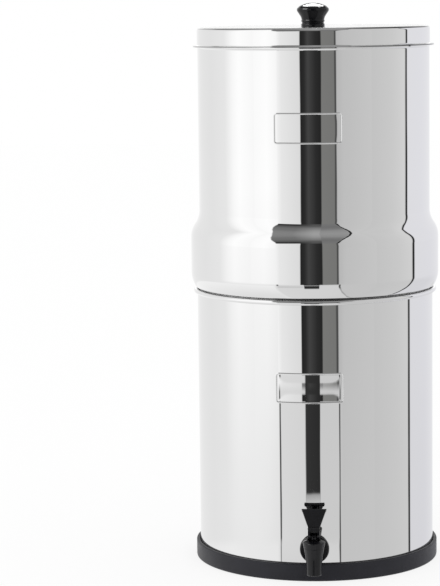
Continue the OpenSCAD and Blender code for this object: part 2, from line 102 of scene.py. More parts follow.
def rounded(corners, steps=6, closed=True):
    # corners are (radius, height, rounding)
    points = []
    count = len(corners)
    for i, (x, y, rounding) in enumerate(corners):
        ends = not closed and i in (0, count - 1)
        if rounding <= 0 or ends:
            points.append((x, y))
            continue
        before, after = Vector(corners[i - 1][:2]), Vector(corners[(i + 1) % count][:2])
        corner = Vector((x, y))
        u, v = (before - corner).normalized(), (after - corner).normalized()
        half = u.angle(v) / 2
        if half > math.radians(89.5):
            points.append((x, y))
            continue
        reach = rounding / math.tan(half)
        center = corner + (u + v).normalized() * (rounding / math.sin(half))
        a, b = corner + u * reach - center, corner + v * reach - center
        start = math.atan2(a.y, a.x)
        swing = math.atan2(b.y, b.x) - start
        swing = (swing + math.pi) % (2 * math.pi) - math.pi
        for step in range(steps + 1):
            angle = start + swing * step / steps
            points.append((center.x + rounding * math.cos(angle), center.y + rounding * math.sin(angle)))
    points = clean(points)
    if closed:
        return supported(points + [points[0]], 0.15)[:-1]
    return supported(points, 0.15)


def flowing(points, steps=6):
    # a smooth curve through the points
    result = []
    padded = [points[0]] + list(points) + [points[-1]]
    for a, b, c, d in zip(padded, padded[1:], padded[2:], padded[3:]):
        for i in range(steps):
            t = i / steps
            result.append(tuple(
                0.5 * (2 * b[k] + (c[k] - a[k]) * t + (2 * a[k] - 5 * b[k] + 4 * c[k] - d[k]) * t * t
                       + (3 * b[k] - a[k] - 3 * c[k] + d[k]) * t ** 3) for k in (0, 1)))
    return result + [points[-1]]


# parts: (points, faces) in millimetres

def revolved(outline, columns, closed=False, warp=None):
    if isinstance(columns, int):
        columns = [2 * math.pi * i / columns for i in range(columns)]
    count = len(columns)
    points, rings, faces = [], [], []
    for radius, z in outline:
        if radius < 1e-6:
            rings.append([len(points)] * count)
            points.append((0, 0, z))
            continue
        rings.append(range(len(points), len(points) + count))
        for angle in columns:
            r = warp(radius, angle, z) if warp else radius
            points.append((r * math.cos(angle), r * math.sin(angle), z))
    pairs = list(zip(rings, rings[1:]))
    if closed:
        pairs.append((rings[-1], rings[0]))
    for low, high in pairs:
        for i in range(count):
            j = (i + 1) % count
            corners = list(dict.fromkeys((low[i], low[j], high[j], high[i])))
            if len(corners) > 2:
                faces.append(corners)
    return points, faces


def slab(outline, thickness):
    # a flat plate: the outline in x and z, the thickness along y
    count = len(outline)
    points = [(x, -thickness / 2, z) for x, z in outline] + [(x, thickness / 2, z) for x, z in outline]
    faces = [list(range(count)), list(range(2 * count - 1, count - 1, -1))]
    faces += [[i, (i + 1) % count, (i + 1) % count + count, i + count] for i in range(count)]
    return points, faces


def loft(sections):
    # closed sections of equally many points, capped at both ends
    count = len(sections[0])
    points = [p for section in sections for p in section]
    faces = [list(range(count))[::-1], list(range(len(points) - count, len(points)))]
    for k in range(len(sections) - 1):
        for i in range(count):
            j = (i + 1) % count
            faces.append([k * count + i, k * count + j, (k + 1) * count + j, (k + 1) * count + i])
    return points, faces


def rod(radius, low, high, columns):
    return revolved([(0, low), (radius, low), (radius, high), (0, high)], columns)


def ringPart(inner, outer, low, high, edges, columns=96):
    # the edges' roundings: low inside, low outside, high outside, high inside
    corners = ((inner, low), (outer, low), (outer, high), (inner, high))
    return revolved(rounded([(*corner, edge) for corner, edge in zip(corners, edges)]), columns, True)


def near(x, z, offsets):
    return [(x + dx, z + dz) for dx, dz in offsets]


def placed(part, matrix):
    return [tuple(matrix @ Vector(p)) for p in part[0]], part[1]


def shift(x=0, y=0, z=0):
    return Matrix.Translation((x, y, z))


def turn(degrees, axis):
    return Matrix.Rotation(math.radians(degrees), 4, axis)


# the way of the tap's inlet: a lathe's height runs along -Y, away from the filter's axis
def alongInlet(height):
    return shift(0, 0, height) @ turn(90, "X")


def joined(parts):
    mesh = bmesh.new()
    for points, faces in parts:
        made = [mesh.verts.new(Vector(p) * mm) for p in points]
        for face in faces:
            mesh.faces.new([made[i] for i in face])
    bmesh.ops.recalc_face_normals(mesh, faces=mesh.faces)
    return mesh


def newThing(name, data):
    thing = bpy.data.objects.new(name, data)
    bpy.context.scene.collection.objects.link(thing)
    return thing


def meshObject(name, mesh):
    data = bpy.data.meshes.new(name)
    mesh.to_mesh(data)
    mesh.free()
    return newThing(name, data)


def applyModifiers(thing):
    graph = bpy.context.evaluated_depsgraph_get()
    data = bpy.data.meshes.new_from_object(thing.evaluated_get(graph))
    thing.modifiers.clear()
    thing.data = data


def cutAway(thing, part):
    cutter = meshObject("cutter", joined([part]))
    modifier = thing.modifiers.new("cut", "BOOLEAN")
    modifier.operation = "DIFFERENCE"
    modifier.solver = "EXACT"
    modifier.object = cutter
    applyModifiers(thing)
    bpy.data.objects.remove(cutter)


def melt(thing, voxel, smoothing):
    # one moulded skin over all shells of the piece, with soft inner corners
    remesh = thing.modifiers.new("skin", "REMESH")
    remesh.mode = "VOXEL"
    remesh.voxel_size = voxel * mm
    smooth = thing.modifiers.new("soften", "SMOOTH")
    smooth.factor = 0.5
    smooth.iterations = smoothing
    applyModifiers(thing)


def bevelled(mesh, width, segments=3, least=30):
    edges = [e for e in mesh.edges if len(e.link_faces) == 2 and e.calc_face_angle() > math.radians(least)]
    bmesh.ops.bevel(mesh, geom=edges, offset=width * mm, segments=segments, profile=0.5, affect="EDGES",
                    clamp_overlap=True)
    return mesh


def finished(thing, body, node, look, sharp=40):
    data = thing.data
    data.shade_smooth()
    data.set_sharp_from_angle(angle=math.radians(sharp))
    data.materials.clear()
    data.materials.append(materials[look])
    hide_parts(node)
    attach(thing, body)


def makePiece(name, parts, body, node, look):
    finished(meshObject(name, joined(parts)), body, node, look)


# node helpers: an input gets a socket to link or a value to set

def feed(node, inputs):
    for key, value in dict(inputs).items():
        if isinstance(value, bpy.types.NodeSocket):
            node.id_data.links.new(value, node.inputs[key])
        else:
            node.inputs[key].default_value = value
    return node


def newNode(tree, kind, inputs=(), **settings):
    node = tree.nodes.new(kind)
    for name, value in settings.items():
        setattr(node, name, value)
    return feed(node, inputs)


def maths(operation, *values, clamp=False):
    tree = next(value.id_data for value in values if isinstance(value, bpy.types.NodeSocket))
    node = newNode(tree, "ShaderNodeMath", enumerate(values), operation=operation, use_clamp=clamp)
    return node.outputs[0]


def vectorMaths(operation, result, *values):
    tree = values[0].id_data
    return newNode(tree, "ShaderNodeVectorMath", enumerate(values), operation=operation).outputs[result]


def product(*values):
    total = values[0]
    for value in values[1:]:
        total = maths("MULTIPLY", total, value)
    return total


def notIn(share):
    return maths("SUBTRACT", 1.0, share)


def rising(value, edge, width):
    # 0 below the edge, 1 above it
    return maths("MULTIPLY_ADD", value, 1 / width, 0.5 - edge / width, clamp=True)


def band(value, low, softLow, high, softHigh):
    return product(rising(value, low, softLow), notIn(rising(value, high, softHigh)))


def ranged(value, start, end, low=0.0, high=1.0):
    # low up to the start, high from the end on
    inputs = {"Value": value, "From Min": start, "From Max": end, "To Min": low, "To Max": high}
    return newNode(value.id_data, "ShaderNodeMapRange", inputs).outputs["Result"]


def blend(share, below, above):
    inputs = {"Factor": share, "A": below, "B": above}
    for label in ("A", "B"):
        if isinstance(inputs[label], float):
            inputs[label] = (inputs[label], inputs[label], inputs[label], 1)
    return newNode(share.id_data, "ShaderNodeMix", inputs, data_type="RGBA").outputs["Result"]


def ramp(value, stops, low=0.0, high=1.0, unit=1.0):
    # stops of position, level and maybe blueness, from the first position to the last one
    first, last = stops[0][0], stops[-1][0]
    share = ranged(value, first * unit, last * unit)
    colors = newNode(value.id_data, "ShaderNodeValToRGB", {"Fac": share})
    points = colors.color_ramp.elements
    points.remove(points[1])
    for i, (position, level, *blue) in enumerate(stops):
        where = (position - first) / (last - first)
        element = points[0] if i == 0 else points.new(where)
        element.position = where
        grey = (level - low) / (high - low)
        element.color = (grey, grey, grey * (blue[0] if blue else 1), 1)
    return colors.outputs["Color"]


def noise(place, scale, detail, roughness=0.5):
    inputs = {"Vector": place, "Scale": scale, "Detail": detail, "Roughness": roughness}
    return newNode(place.id_data, "ShaderNodeTexNoise", inputs).outputs["Fac"]


def newGroup(name, output, **inputs):
    tree = bpy.data.node_groups.new(name, "ShaderNodeTree")
    for label, value in inputs.items():
        socket = tree.interface.new_socket(label, in_out="INPUT", socket_type="NodeSocketFloat")
        socket.default_value = value
    tree.interface.new_socket(output, in_out="OUTPUT", socket_type="NodeSocketFloat")
    place = newNode(tree, "ShaderNodeTexCoord").outputs["Object"]
    return place, tree.nodes.new("NodeGroupInput").outputs, tree.nodes.new("NodeGroupOutput")


# cloudy variation between two values
def makeCloudGroup():
    place, given, end = newGroup("cloudyValue", "Value", Scale=20.0, Low=0.0, High=1.0)
    clouds = noise(place, given["Scale"], 4, 0.6)
    feed(end, {"Value": ranged(clouds, 0.3, 0.7, given["Low"], given["High"])})
    return end.id_data


# fine grain as a height, for bump
def makeGrainGroup():
    place, given, end = newGroup("fineGrain", "Height", Scale=900.0, Coarse=0.4)
    fine = noise(place, given["Scale"], 2)
    broad = noise(place, maths("MULTIPLY", given["Scale"], 0.2), 1)
    feed(end, {"Height": maths("ADD", fine, product(broad, given["Coarse"]))})
    return end.id_data


cloudGroup = makeCloudGroup()
grainGroup = makeGrainGroup()


def useGroup(tree, group, **values):
    return newNode(tree, "ShaderNodeGroup", values.items(), node_tree=group).outputs[0]


# a material whose colour and roughness drift between two values each, over a fine grain
def surface(name, colors, roughness, colorScale=30.0, roughScale=60.0, grain=900.0, bump=0.0,
            metallic=0.0, coarse=0.4, subsurface=0.0, specular=0.5):
    material = bpy.data.materials.new(name)
    material.use_nodes = True
    tree = material.node_tree
    drift = useGroup(tree, cloudGroup, Scale=colorScale)
    dull = useGroup(tree, cloudGroup, Scale=roughScale, Low=roughness[0], High=roughness[1])
    inputs = {"Metallic": metallic, "Specular IOR Level": specular, "Roughness": dull,
              "Base Color": blend(drift, (*colors[0], 1), (*colors[1], 1))}
    if subsurface:
        inputs.update({"Subsurface Weight": subsurface, "Subsurface Scale": 0.002})
    if bump:
        grit = useGroup(tree, grainGroup, Scale=grain, Coarse=coarse)
        raised = {"Strength": 1.0, "Distance": bump * mm, "Height": grit}
        inputs["Normal"] = newNode(tree, "ShaderNodeBump", raised).outputs["Normal"]
    feed(tree.nodes["Principled BSDF"], inputs)
    return material


looks = {
    "polishedSteel": {"colors": [(0.80, 0.80, 0.80), (0.815, 0.815, 0.815)], "roughness": (0.008, 0.014),
                      "colorScale": 6.0, "roughScale": 25.0, "metallic": 1.0},
    "blackPlastic": {"colors": [(0.004, 0.004, 0.005), (0.006, 0.006, 0.0075)], "roughness": (0.06, 0.10),
                     "colorScale": 90.0, "roughScale": 140.0, "grain": 2500.0, "bump": 0.003,
                     "specular": 0.33},
    "ringRubber": {"colors": [(0.012, 0.012, 0.017), (0.017, 0.017, 0.024)], "roughness": (0.40, 0.48),
                   "colorScale": 40.0, "roughScale": 70.0, "grain": 2200.0, "bump": 0.02, "specular": 0.32},
    "sealRubber": {"colors": [(0.026, 0.026, 0.026), (0.034, 0.034, 0.034)], "roughness": (0.55, 0.68),
                   "grain": 2000.0, "bump": 0.02},
    "silicone": {"colors": [(0.78, 0.78, 0.76), (0.82, 0.82, 0.80)], "roughness": (0.35, 0.45),
                 "grain": 1500.0, "bump": 0.01, "subsurface": 0.3},
    "carbon": {"colors": [(0.028, 0.028, 0.030), (0.045, 0.045, 0.047)], "roughness": (0.75, 0.9),
               "colorScale": 260.0, "grain": 1500.0, "bump": 0.12, "coarse": 0.8},
    "capPlastic": {"colors": [(0.045, 0.065, 0.15), (0.055, 0.077, 0.17)], "roughness": (0.32, 0.42),
                   "grain": 2000.0, "bump": 0.01},
    "oiledSteel": {"colors": [(0.05, 0.05, 0.055), (0.08, 0.08, 0.085)], "roughness": (0.30, 0.42),
                   "colorScale": 220.0, "metallic": 1.0, "grain": 2500.0, "bump": 0.006},
    "platedSteel": {"colors": [(0.62, 0.63, 0.64), (0.70, 0.71, 0.72)], "roughness": (0.24, 0.38),
                    "colorScale": 220.0, "roughScale": 300.0, "metallic": 1.0, "grain": 2500.0,
                    "bump": 0.006},
}
materials = {name: surface(name, **look) for name, look in looks.items()}

# polished sheet: faint upright waves from the drawing, painted shade in the seam where the chambers meet,
# and painted dark reflection lines along the lid's two outer edges as (low, high, reach), strongest at the
# right
steelSizes = {
    "waveScale": 150.0,
    "waveStretch": 0.08,
    "waveDepth": 0.018,
    "seamLow": 250.7,
    "seamHigh": 253.0,
    "seamSoft": 0.4,
    "seamReach": 112.8,
    "seamReachSoft": 0.6,
    "seamMiddle": 15.0,
    "seamFull": 10.0,
    "seamFaded": 80.0,
    "seamColor": 0.3,
    "lidTop": 488.2,
    "lidTopSoft": 0.2,
    "lidDull": 0.12,
    "edgeLines": [(486.8, 488.35, 102.8), (471.2, 472.6, 107.4)],
    "edgeSoft": 0.25,
    "edgeShares": [(-105, 0.55), (-60, 0.6), (-35, 0.25), (-20, 0.1), (25, 0.1), (45, 0.8), (85, 0.95),
                   (105, 0.9)],
    "edgeColor": 0.12,
    "wallInward": (10, 30),
    "floorTilt": 0.4,
    "floorReach": 98.0,
    "floorsBelow": 460.0,
    "insideColor": 0.75,
    "insideMetal": 0.25,
    "insideDull": 0.3,
}


def finishSteel():
    s = sizes(steelSizes)
    tree = materials["polishedSteel"].node_tree
    shader = tree.nodes["Principled BSDF"]
    place = newNode(tree, "ShaderNodeTexCoord").outputs
    stretch = {"Vector": place["Object"], "Scale": (1, 1, s.waveStretch)}
    drawn = noise(newNode(tree, "ShaderNodeMapping", stretch).outputs["Vector"], s.waveScale, 1)
    waves = newNode(tree, "ShaderNodeBump", {"Height": drawn, "Distance": s.waveDepth * mm})

    x, y, z = newNode(tree, "ShaderNodeSeparateXYZ", {0: place["Object"]}).outputs
    flat = vectorMaths("MULTIPLY", "Vector", place["Object"], (1, 1, 0))
    radius = vectorMaths("LENGTH", "Value", flat)

    def limit(value, start, end):
        return ranged(value, start * mm, end * mm)

    # painted shade in the seam where the chambers meet: darkest near the seam's middle x, fading towards the
    # sides
    aside = maths("ABSOLUTE", maths("SUBTRACT", x, s.seamMiddle * mm))
    seamShade = product(limit(aside, s.seamFaded, s.seamFull),
                   limit(z, s.seamLow, s.seamLow + s.seamSoft),
                   limit(z, s.seamHigh, s.seamHigh - s.seamSoft),
                   limit(radius, s.seamReach, s.seamReach - s.seamReachSoft))
    # painted dark reflection lines along the lid's two outer edges, their strength set by x, strongest at
    # the right
    strength = ramp(x, s.edgeShares, unit=mm)
    soft = s.edgeSoft
    paintedEdgeReflections = [product(strength, limit(z, low, low + soft), limit(z, high, high - soft),
                     limit(radius, reach, reach + soft)) for low, high, reach in s.edgeLines]

    # walls that face the middle, and floors, are satin and never end up black
    start, full = s.wallInward
    wall = limit(vectorMaths("DOT_PRODUCT", "Value", place["Normal"], flat), -start, -full)
    upward = newNode(tree, "ShaderNodeSeparateXYZ", {0: place["Normal"]}).outputs["Z"]
    floors = product(maths("COMPARE", upward, 1.0, s.floorTilt),
                     maths("LESS_THAN", radius, s.floorReach * mm),
                     maths("LESS_THAN", z, s.floorsBelow * mm))
    inside = maths("MAXIMUM", wall, floors)

    # the lid's top is brushed a little duller
    roughness = shader.inputs["Roughness"].links[0].from_socket
    roughness = maths("MULTIPLY_ADD", inside, s.insideDull, roughness)
    lidTop = ranged(z, s.lidTop * mm, (s.lidTop + s.lidTopSoft) * mm, 0.0, s.lidDull)
    roughness = maths("ADD", roughness, lidTop)
    color = shader.inputs["Base Color"].links[0].from_socket
    # the base colour takes the painted seam shade, the painted edge reflection lines and the satin inside
    edge = maths("MAXIMUM", *paintedEdgeReflections)
    for share, level in ((seamShade, s.seamColor), (edge, s.edgeColor), (inside, s.insideColor)):
        color = blend(share, color, level)
    feed(shader, {"Normal": waves.outputs["Normal"], "Roughness": roughness, "Base Color": color,
                  "Metallic": ranged(inside, 0.0, 1.0, 1.0, s.insideMetal)})


finishSteel()
print("materials made")


# base ring

ringSizes = {
    "inner": 108.0,
    "gap": 0.02,
    "outer": 111.6,
    "height": 15.7,
    "edge": 1.0,
    "foot": 1.8,
    "groove": 0.9,
    "grooveDepth": 1.4,
    "grooveEdges": (0.4, 0.2),
    "lipWidth": 9.0,
    "lipHeight": 3.0,
    "lipEdge": 0.5,
}


def makeBaseRing():
    s = sizes(ringSizes)
    inner, outer, lip = s.inner + s.gap, s.outer, s.inner - s.lipWidth
    high, low = s.grooveEdges
    outline = rounded([(lip, 0, s.lipEdge), (outer, 0, s.foot), (outer, s.height, s.edge),
                       (inner + s.groove, s.height, high),
                       (inner, s.height - s.grooveDepth, low),
                       (inner, s.lipHeight, 0), (lip, s.lipHeight, s.lipEdge)])
    makePiece("baseRing", [revolved(outline, 256, True)], "root", "base_ring", "ringRubber")


makeBaseRing()
print("base ring made")


# stamped frames: a raised line around a slightly sunken field

stampSizes = {
    "width": 60.0,
    "height": 26.8,
    "line": 1.0,
    "lift": 0.5,
    "corner": 2.6,
    "turn": -1.8,
    "dent": 0.03,
    "dentSlope": 8.0,
    "fineReach": 3.2,
    "fineStep": 0.14,
    "fineCount": 29,
    "columns": 240,
    "fieldRows": (5, 1.8, 10),
}


def stamp(radius, centerZ):
    s = sizes(stampSizes)
    middle = math.radians(-90 + s.turn)
    halfW, halfH = (s.width - s.line) / 2, (s.height - s.line) / 2
    bend = s.corner - s.line / 2
    reach = s.line * 0.75

    def warp(r, angle, z):
        u = abs(radius * math.sin(angle - middle))
        v = abs(z - centerZ)
        if v > halfH + 2 or u > halfW + 2 or math.cos(angle - middle) < 0:
            return r
        dx, dy = u - halfW + bend, v - halfH + bend
        outside = math.hypot(max(dx, 0), max(dy, 0)) + min(max(dx, dy), 0) - bend
        rise = 0
        if abs(outside) < reach:
            rise = s.lift * (0.5 + 0.5 * math.cos(math.pi * outside / reach))
        if outside < 0:
            depth = min(1, -outside / s.dentSlope)
            rise -= s.dent * depth * depth * (3 - 2 * depth)
        return r + rise

    return warp


def fineSteps(size):
    # closely spaced distances from the frame's middle, across its line
    s = sizes(stampSizes)
    return [size / 2 - s.fineReach + s.fineStep * i for i in range(s.fineCount)]


def stampColumns(radius, extra=()):
    s = sizes(stampSizes)
    middle = math.radians(-90 + s.turn)
    whole = 2 * math.pi
    angles = {round(whole * i / s.columns, 6) for i in range(s.columns)}
    fine = [side * math.asin(distance / radius) for side in (-1, 1) for distance in fineSteps(s.width)]
    angles.update(round((middle + angle) % whole, 6) for angle in fine)
    angles.update(round(angle % whole, 6) for angle in extra)
    ordered = sorted(angles)
    return [a for a, b in zip(ordered, ordered[1:] + [ordered[0] + whole]) if b - a > 0.0006]


def stampRows(centerZ):
    s = sizes(stampSizes)
    start, pitch, count = s.fieldRows
    rows = [centerZ + side * distance for side in (-1, 1) for distance in fineSteps(s.height)]
    return sorted(rows + [centerZ - s.height / 2 + start + pitch * i for i in range(count)])


def withRows(path, x, rows):
    # adds points to the straight that runs up at radius x
    result = [path[0]]
    for p, q in zip(path, path[1:]):
        if abs(p[0] - x) < 1e-6 and abs(q[0] - x) < 1e-6:
            result += [(x, z) for z in rows if p[1] < z < q[1]]
        result.append(q)
    return result


# lower chamber

lowerSizes = {
    "radius": 108.0,
    "wall": 0.8,
    "footZ": 3.0,
    "floorRise": 6.0,
    "floorReach": 80.0,
    "floorEdges": (3, 1.2),
    "footWidth": 12.0,
    "footRound": 5.0,
    "top": 251.1,
    "rimReach": 3.3,
    "stampDrop": 78.0,
    "tapZ": 29.2,
    "tapHole": 16.4,
    "tapCut": (90, 120),
    "tapRows": (-10, 1.25, 17),
}


def lowerPath():
    s = sizes(lowerSizes)
    rise, reach = s.footZ + s.floorRise, s.floorReach
    footIn = s.radius - s.footWidth
    bead = (s.rimReach + s.wall) / 2
    high, low = s.floorEdges
    foot = rounded([(reach, rise, 0), (footIn - s.floorRise, rise, high), (footIn, s.footZ, low),
                    (s.radius, s.footZ, s.footRound), (s.radius, 60, 0)], 10, False)
    rim = arc((s.radius + bead - s.wall, s.top - bead), bead - s.wall, 180, -90, 36)
    return [(x, rise) for x in (0, 20, 50, reach)] + foot[1:-1] + rim


def makeLowerChamber():
    s = sizes(lowerSizes)
    stampZ = s.top - s.stampDrop
    start, pitch, count = s.tapRows
    around = [start + pitch * i for i in range(count)]
    rows = sorted(stampRows(stampZ) + [s.tapZ + distance for distance in around])
    path = withRows(supported(clean(lowerPath())), s.radius, rows)
    outline = path + shifted(path, s.wall)[::-1]
    extra = [math.radians(-90) + math.asin(distance / s.radius) for distance in around]
    wall = revolved(outline, stampColumns(s.radius, extra), False, stamp(s.radius, stampZ))
    chamber = meshObject("lowerChamber", joined([wall]))
    cutAway(chamber, placed(rod(s.tapHole / 2, *s.tapCut, 64), alongInlet(s.tapZ)))
    finished(chamber, "root", "lower_chamber", "polishedSteel")


makeLowerChamber()
print("lower chamber made")


# upper chamber

upperSizes = {
    "radius": 105.5,
    "wall": 0.8,
    "baseRadius": 106.6,
    "baseBend": 4.0,
    "floorZ": 242.4,
    "joint": 252.0,
    "jointBend": 0.4,
    "bulge": 113.35,
    "bulgeCurve": 26.0,
    "bulgeCurveHeight": 14.2,
    "bulgeRound": 2.6,
    "shoulder": 297.5,
    "shoulderHeight": 25.0,
    "shoulderShare": 0.5,
    "lidSeat": 471.6,
    "topBend": 1.8,
    "lipEdge": 108.6,
    "stampDrop": 70.0,
    "holes": 56.0,
    "holeRadius": 6.15,
}


def upperPath():
    s = sizes(upperSizes)
    tilt = 2 * math.degrees(math.atan((s.bulge - s.radius) / s.shoulderHeight))
    bends = s.shoulderHeight / math.sin(math.radians(tilt))
    bend, bendAbove = bends * s.shoulderShare, bends * (1 - s.shoulderShare)
    around, curve, small, base = s.bulgeRound, s.bulgeCurve, s.jointBend, s.baseBend
    start = -math.degrees(math.asin((s.bulgeCurveHeight - around) / (curve - around)))
    aroundX = s.bulge - curve + (curve - around) * math.cos(math.radians(start))
    bendZ = s.lidSeat - s.wall - s.topBend
    shoulderTop = (s.radius + bendAbove, s.shoulder + s.shoulderHeight)
    return (arc((s.baseRadius - base, s.floorZ + base), base, -90, 0, 14)
            + arc((s.baseRadius + small, s.joint - small), small, 180, 90, 6)
            + arc((aroundX, s.joint + around), around, -90, start, 10)
            + arc((s.bulge - curve, s.joint + s.bulgeCurveHeight), curve, start, 0, 30)[1:]
            + arc((s.bulge - bend, s.shoulder), bend, 0, tilt, 30)
            + arc(shoulderTop, bendAbove, 180 + tilt, 180, 30)[1:]
            + arc((s.radius + s.topBend, bendZ), s.topBend, 180, 90, 12)
            + [(s.lipEdge, s.lidSeat - s.wall)])


def fillPlane(mesh, z):
    def onPlane(edge):
        return edge.is_boundary and all(abs(v.co.z - z * mm) < 1e-6 for v in edge.verts)

    edges = [edge for edge in mesh.edges if onPlane(edge)]
    bmesh.ops.triangle_fill(mesh, use_beauty=True, use_dissolve=False, edges=edges, normal=(0, 0, 1))


def makeUpperChamber():
    s = sizes(upperSizes)
    stampZ = s.lidSeat - s.stampDrop
    path = [(s.baseRadius - 8, s.floorZ)] + supported(clean(upperPath()))
    path = withRows(path, s.radius, stampRows(stampZ))
    outline = path + shifted(path, s.wall)[::-1]
    floorTop = s.floorZ + s.wall
    tube = revolved([(s.holeRadius, s.floorZ), (s.holeRadius, floorTop)], 40)
    far = s.holes
    spots = [shift(far), shift(-far), shift(y=far), shift(y=-far)]
    wall = revolved(outline, stampColumns(s.radius), False, stamp(s.radius, stampZ))
    mesh = joined([wall] + [placed(tube, spot) for spot in spots])
    fillPlane(mesh, s.floorZ)
    fillPlane(mesh, floorTop)
    bmesh.ops.recalc_face_normals(mesh, faces=mesh.faces)
    finished(meshObject("upperChamber", mesh), "upper", "upper_chamber", "polishedSteel")


makeUpperChamber()
print("upper chamber made")


# lid

lidSizes = {
    "sheet": 0.7,
    "seat": 471.7,
    "top": 488.5,
    "side": 105.9,
    "flange": 109.55,
    "flangeEdge": 0.8,
    "curl": 1.6,
    "edge": 3.2,
    "fillet": 1.5,
    "hole": 2.9,
}


def makeLid():
    s = sizes(lidSizes)
    flangeTop = s.seat + s.sheet
    small, fillet, edge = s.flangeEdge, s.fillet, s.edge
    path = ([(s.flange, flangeTop - s.curl)]
            + arc((s.flange - small, flangeTop - small), small, 0, 90, 8)
            + arc((s.side + fillet, flangeTop + fillet), fillet, 270, 180, 10)
            + arc((s.side - edge, s.top - edge), edge, 0, 90, 14)
            + [(x, s.top) for x in (90, 60, 30, 10, s.hole)])
    sheet = revolved(sheetOutline(path, s.sheet), 288, True)
    makePiece("lidSheet", [sheet], "lid", "lid", "polishedSteel")


makeLid()
print("lid made")


# knob

knobSizes = {
    "height": 21.3,
    "head": 14.6,
    "headZ": 14.9,
    "neck": 10.25,
    "ring": 0.45,
    "ringAngle": 65.0,
    "ringInsets": (0.15, 0.12, 0.1),
    "firstRing": 1.5,
    "ringPitch": 3.3,
    "skirt": [(0.1, 0), (0.45, 0.12)],
    "waist": [(0.05, 1.1), (0.3, 2.2), (0.9, 3.9), (2.35, 6.2)],
    "brim": [(-0.75, -2.1), (-0.1, -0.9), (0, 0.2), (-0.35, 1.35), (-1.3, 2.3)],
    "crown": [(0.79, 3.72), (0.5, 5.4), (0.25, 6.15)],
    "hole": 2.52,
    "holeDepth": 12.0,
}
screwSizes = {
    "washerBore": 2.9,
    "washer": 6.0,
    "washerThickness": 1.0,
    "washerEdges": (0.15, 0.25, 0.25, 0.15),
    "headDepth": 4.0,
    "headThickness": 3.0,
    "head": 4.75,
    "headFace": 1.35,
    "headEdge": 0.75,
    "headRim": 0.3,
    "thread": 2.5,
    "threadCut": 0.35,
    "pitch": 0.8,
    "rowStep": 0.16,
    "rows": 73,
    "tip": 11.6,
    "tipEdge": 0.4,
    "slot": 1.2,
    "slotReach": 6.0,
    "slotDepth": 1.5,
}


def makeKnob():
    s = sizes(knobSizes)
    neck, head, ring, bend = s.neck, s.head, s.ring, s.ringAngle
    low, high = s.firstRing, s.firstRing + s.ringPitch
    lowIn, middleIn, highIn = s.ringInsets
    crown = [(head * share, s.headZ + z) for share, z in s.crown]
    side = flowing(near(neck, high, s.waist) + near(head, s.headZ, s.brim) + crown
                   + [(0, s.height)], 5)
    outline = ([(0, s.holeDepth), (s.hole, s.holeDepth), (s.hole, 0)] + near(neck, 0, s.skirt)
               + arc((neck + lowIn, low), ring, -bend, bend, 8)
               + arc((neck + middleIn, (low + high) / 2), -ring, bend, -bend, 8)
               + arc((neck + highIn, high), ring, -bend, bend, 8) + side)
    part = placed(revolved(clean(outline), 128), shift(z=lidSizes["top"]))
    makePiece("lidKnob", [part], "lid", "lid_knob", "blackPlastic")


def makeKnobFixing():
    s = sizes(screwSizes)
    top = lidSizes["top"] - lidSizes["sheet"]
    washer = ringPart(s.washerBore, s.washer, top - s.washerThickness, top, s.washerEdges, 64)
    makePiece("knobWasher", [washer], "lid", "knob_washer", "platedSteel")
    headZ = top - s.headDepth
    headTop, start = headZ + s.headThickness, headZ + s.headThickness + 1
    head, edge, rim = s.head, s.headEdge, s.headRim

    def thread(r, angle, z):
        if r < s.thread - 0.1 or z < start:
            return r
        phase = (z / s.pitch - angle / (2 * math.pi)) % 1
        return r - s.threadCut * abs(2 * phase - 1)

    outline = ([(0, headZ), (head - s.headFace, headZ)]
               + arc((head - edge, headZ + edge), edge, -90, 0, 6)
               + [(head, headTop - rim), (head - rim, headTop), (s.thread, headTop)]
               + [(s.thread, start + s.rowStep * i) for i in range(s.rows)]
               + [(s.thread - s.tipEdge, top + s.tip), (0, top + s.tip + 0.1)])
    screw = meshObject("knobScrew", joined([revolved(clean(outline), 48, False, thread)]))
    low, high, reach = headZ - 1, headZ + s.slotDepth, s.slotReach
    cutAway(screw, slab([(-reach, low), (reach, low), (reach, high), (-reach, high)], s.slot))
    finished(screw, "lid", "knob_screw", "platedSteel")


makeKnob()
makeKnobFixing()
print("knob made")


# filter elements, plugs and what holds them

elementSizes = {
    "spot": 56.0,
    "radius": 34.0,
    "bottom": 248.2,
    "length": 195.0,
    "edge": 4.0,
    "bore": 10.0,
    "endThickness": 18.0,
    "capRadius": 35.7,
    "capZ": 245.2,
    "capHeight": 10.0,
    "capFloor": 3.0,
    "capEdges": (0.8, 0.5, 0.3),
    "capGap": 0.1,
    "grips": 40,
    "gripDepth": 0.5,
    "gripEdge": 1.2,
    "stemRadius": 5.75,
    "stemBore": 2.5,
    "stemLength": 33.0,
    "stemEdge": 0.5,
    "threadPitch": 1.5,
    "threadDepth": 0.45,
    "threadGap": 0.6,
    "threadStep": 0.25,
}
nutSizes = {
    "hub": 8.5,
    "height": 7.0,
    "bore": 5.8,
    "edges": (0.4, 0.8, 0.3, 0.2),
    "wingRoot": 6.4,
    "wingEdge": 0.7,
    "span": 34.0,
    "thickness": 2.6,
    "top": 242.4,
}
plugSizes = {
    "head": 10.0,
    "headHeight": 4.0,
    "headEdges": (0.5, 0.8, 1.2),
    "headDrop": 1.2,
    "headSlope": 1.6,
    "length": 20.0,
    "z": 245.2,
}
sealSizes = {
    "outer": 12.0,
    "inner": 5.8,
    "z": 243.2,
    "thickness": 2.0,
    "edges": (0.2, 0.4, 0.4, 0.2),
}
elementSides = {"left": -1, "right": 1}


def threaded(core, low, high):
    # a helical groove on one radius, between two heights
    pitch, depth = elementSizes["threadPitch"], elementSizes["threadDepth"]

    def warp(r, angle, z):
        if abs(r - core) > 0.01 or not low < z < high:
            return r
        phase = (z / pitch - angle / (2 * math.pi)) % 1
        return r - depth * min(1, 1.35 * abs(2 * phase - 1))

    return warp


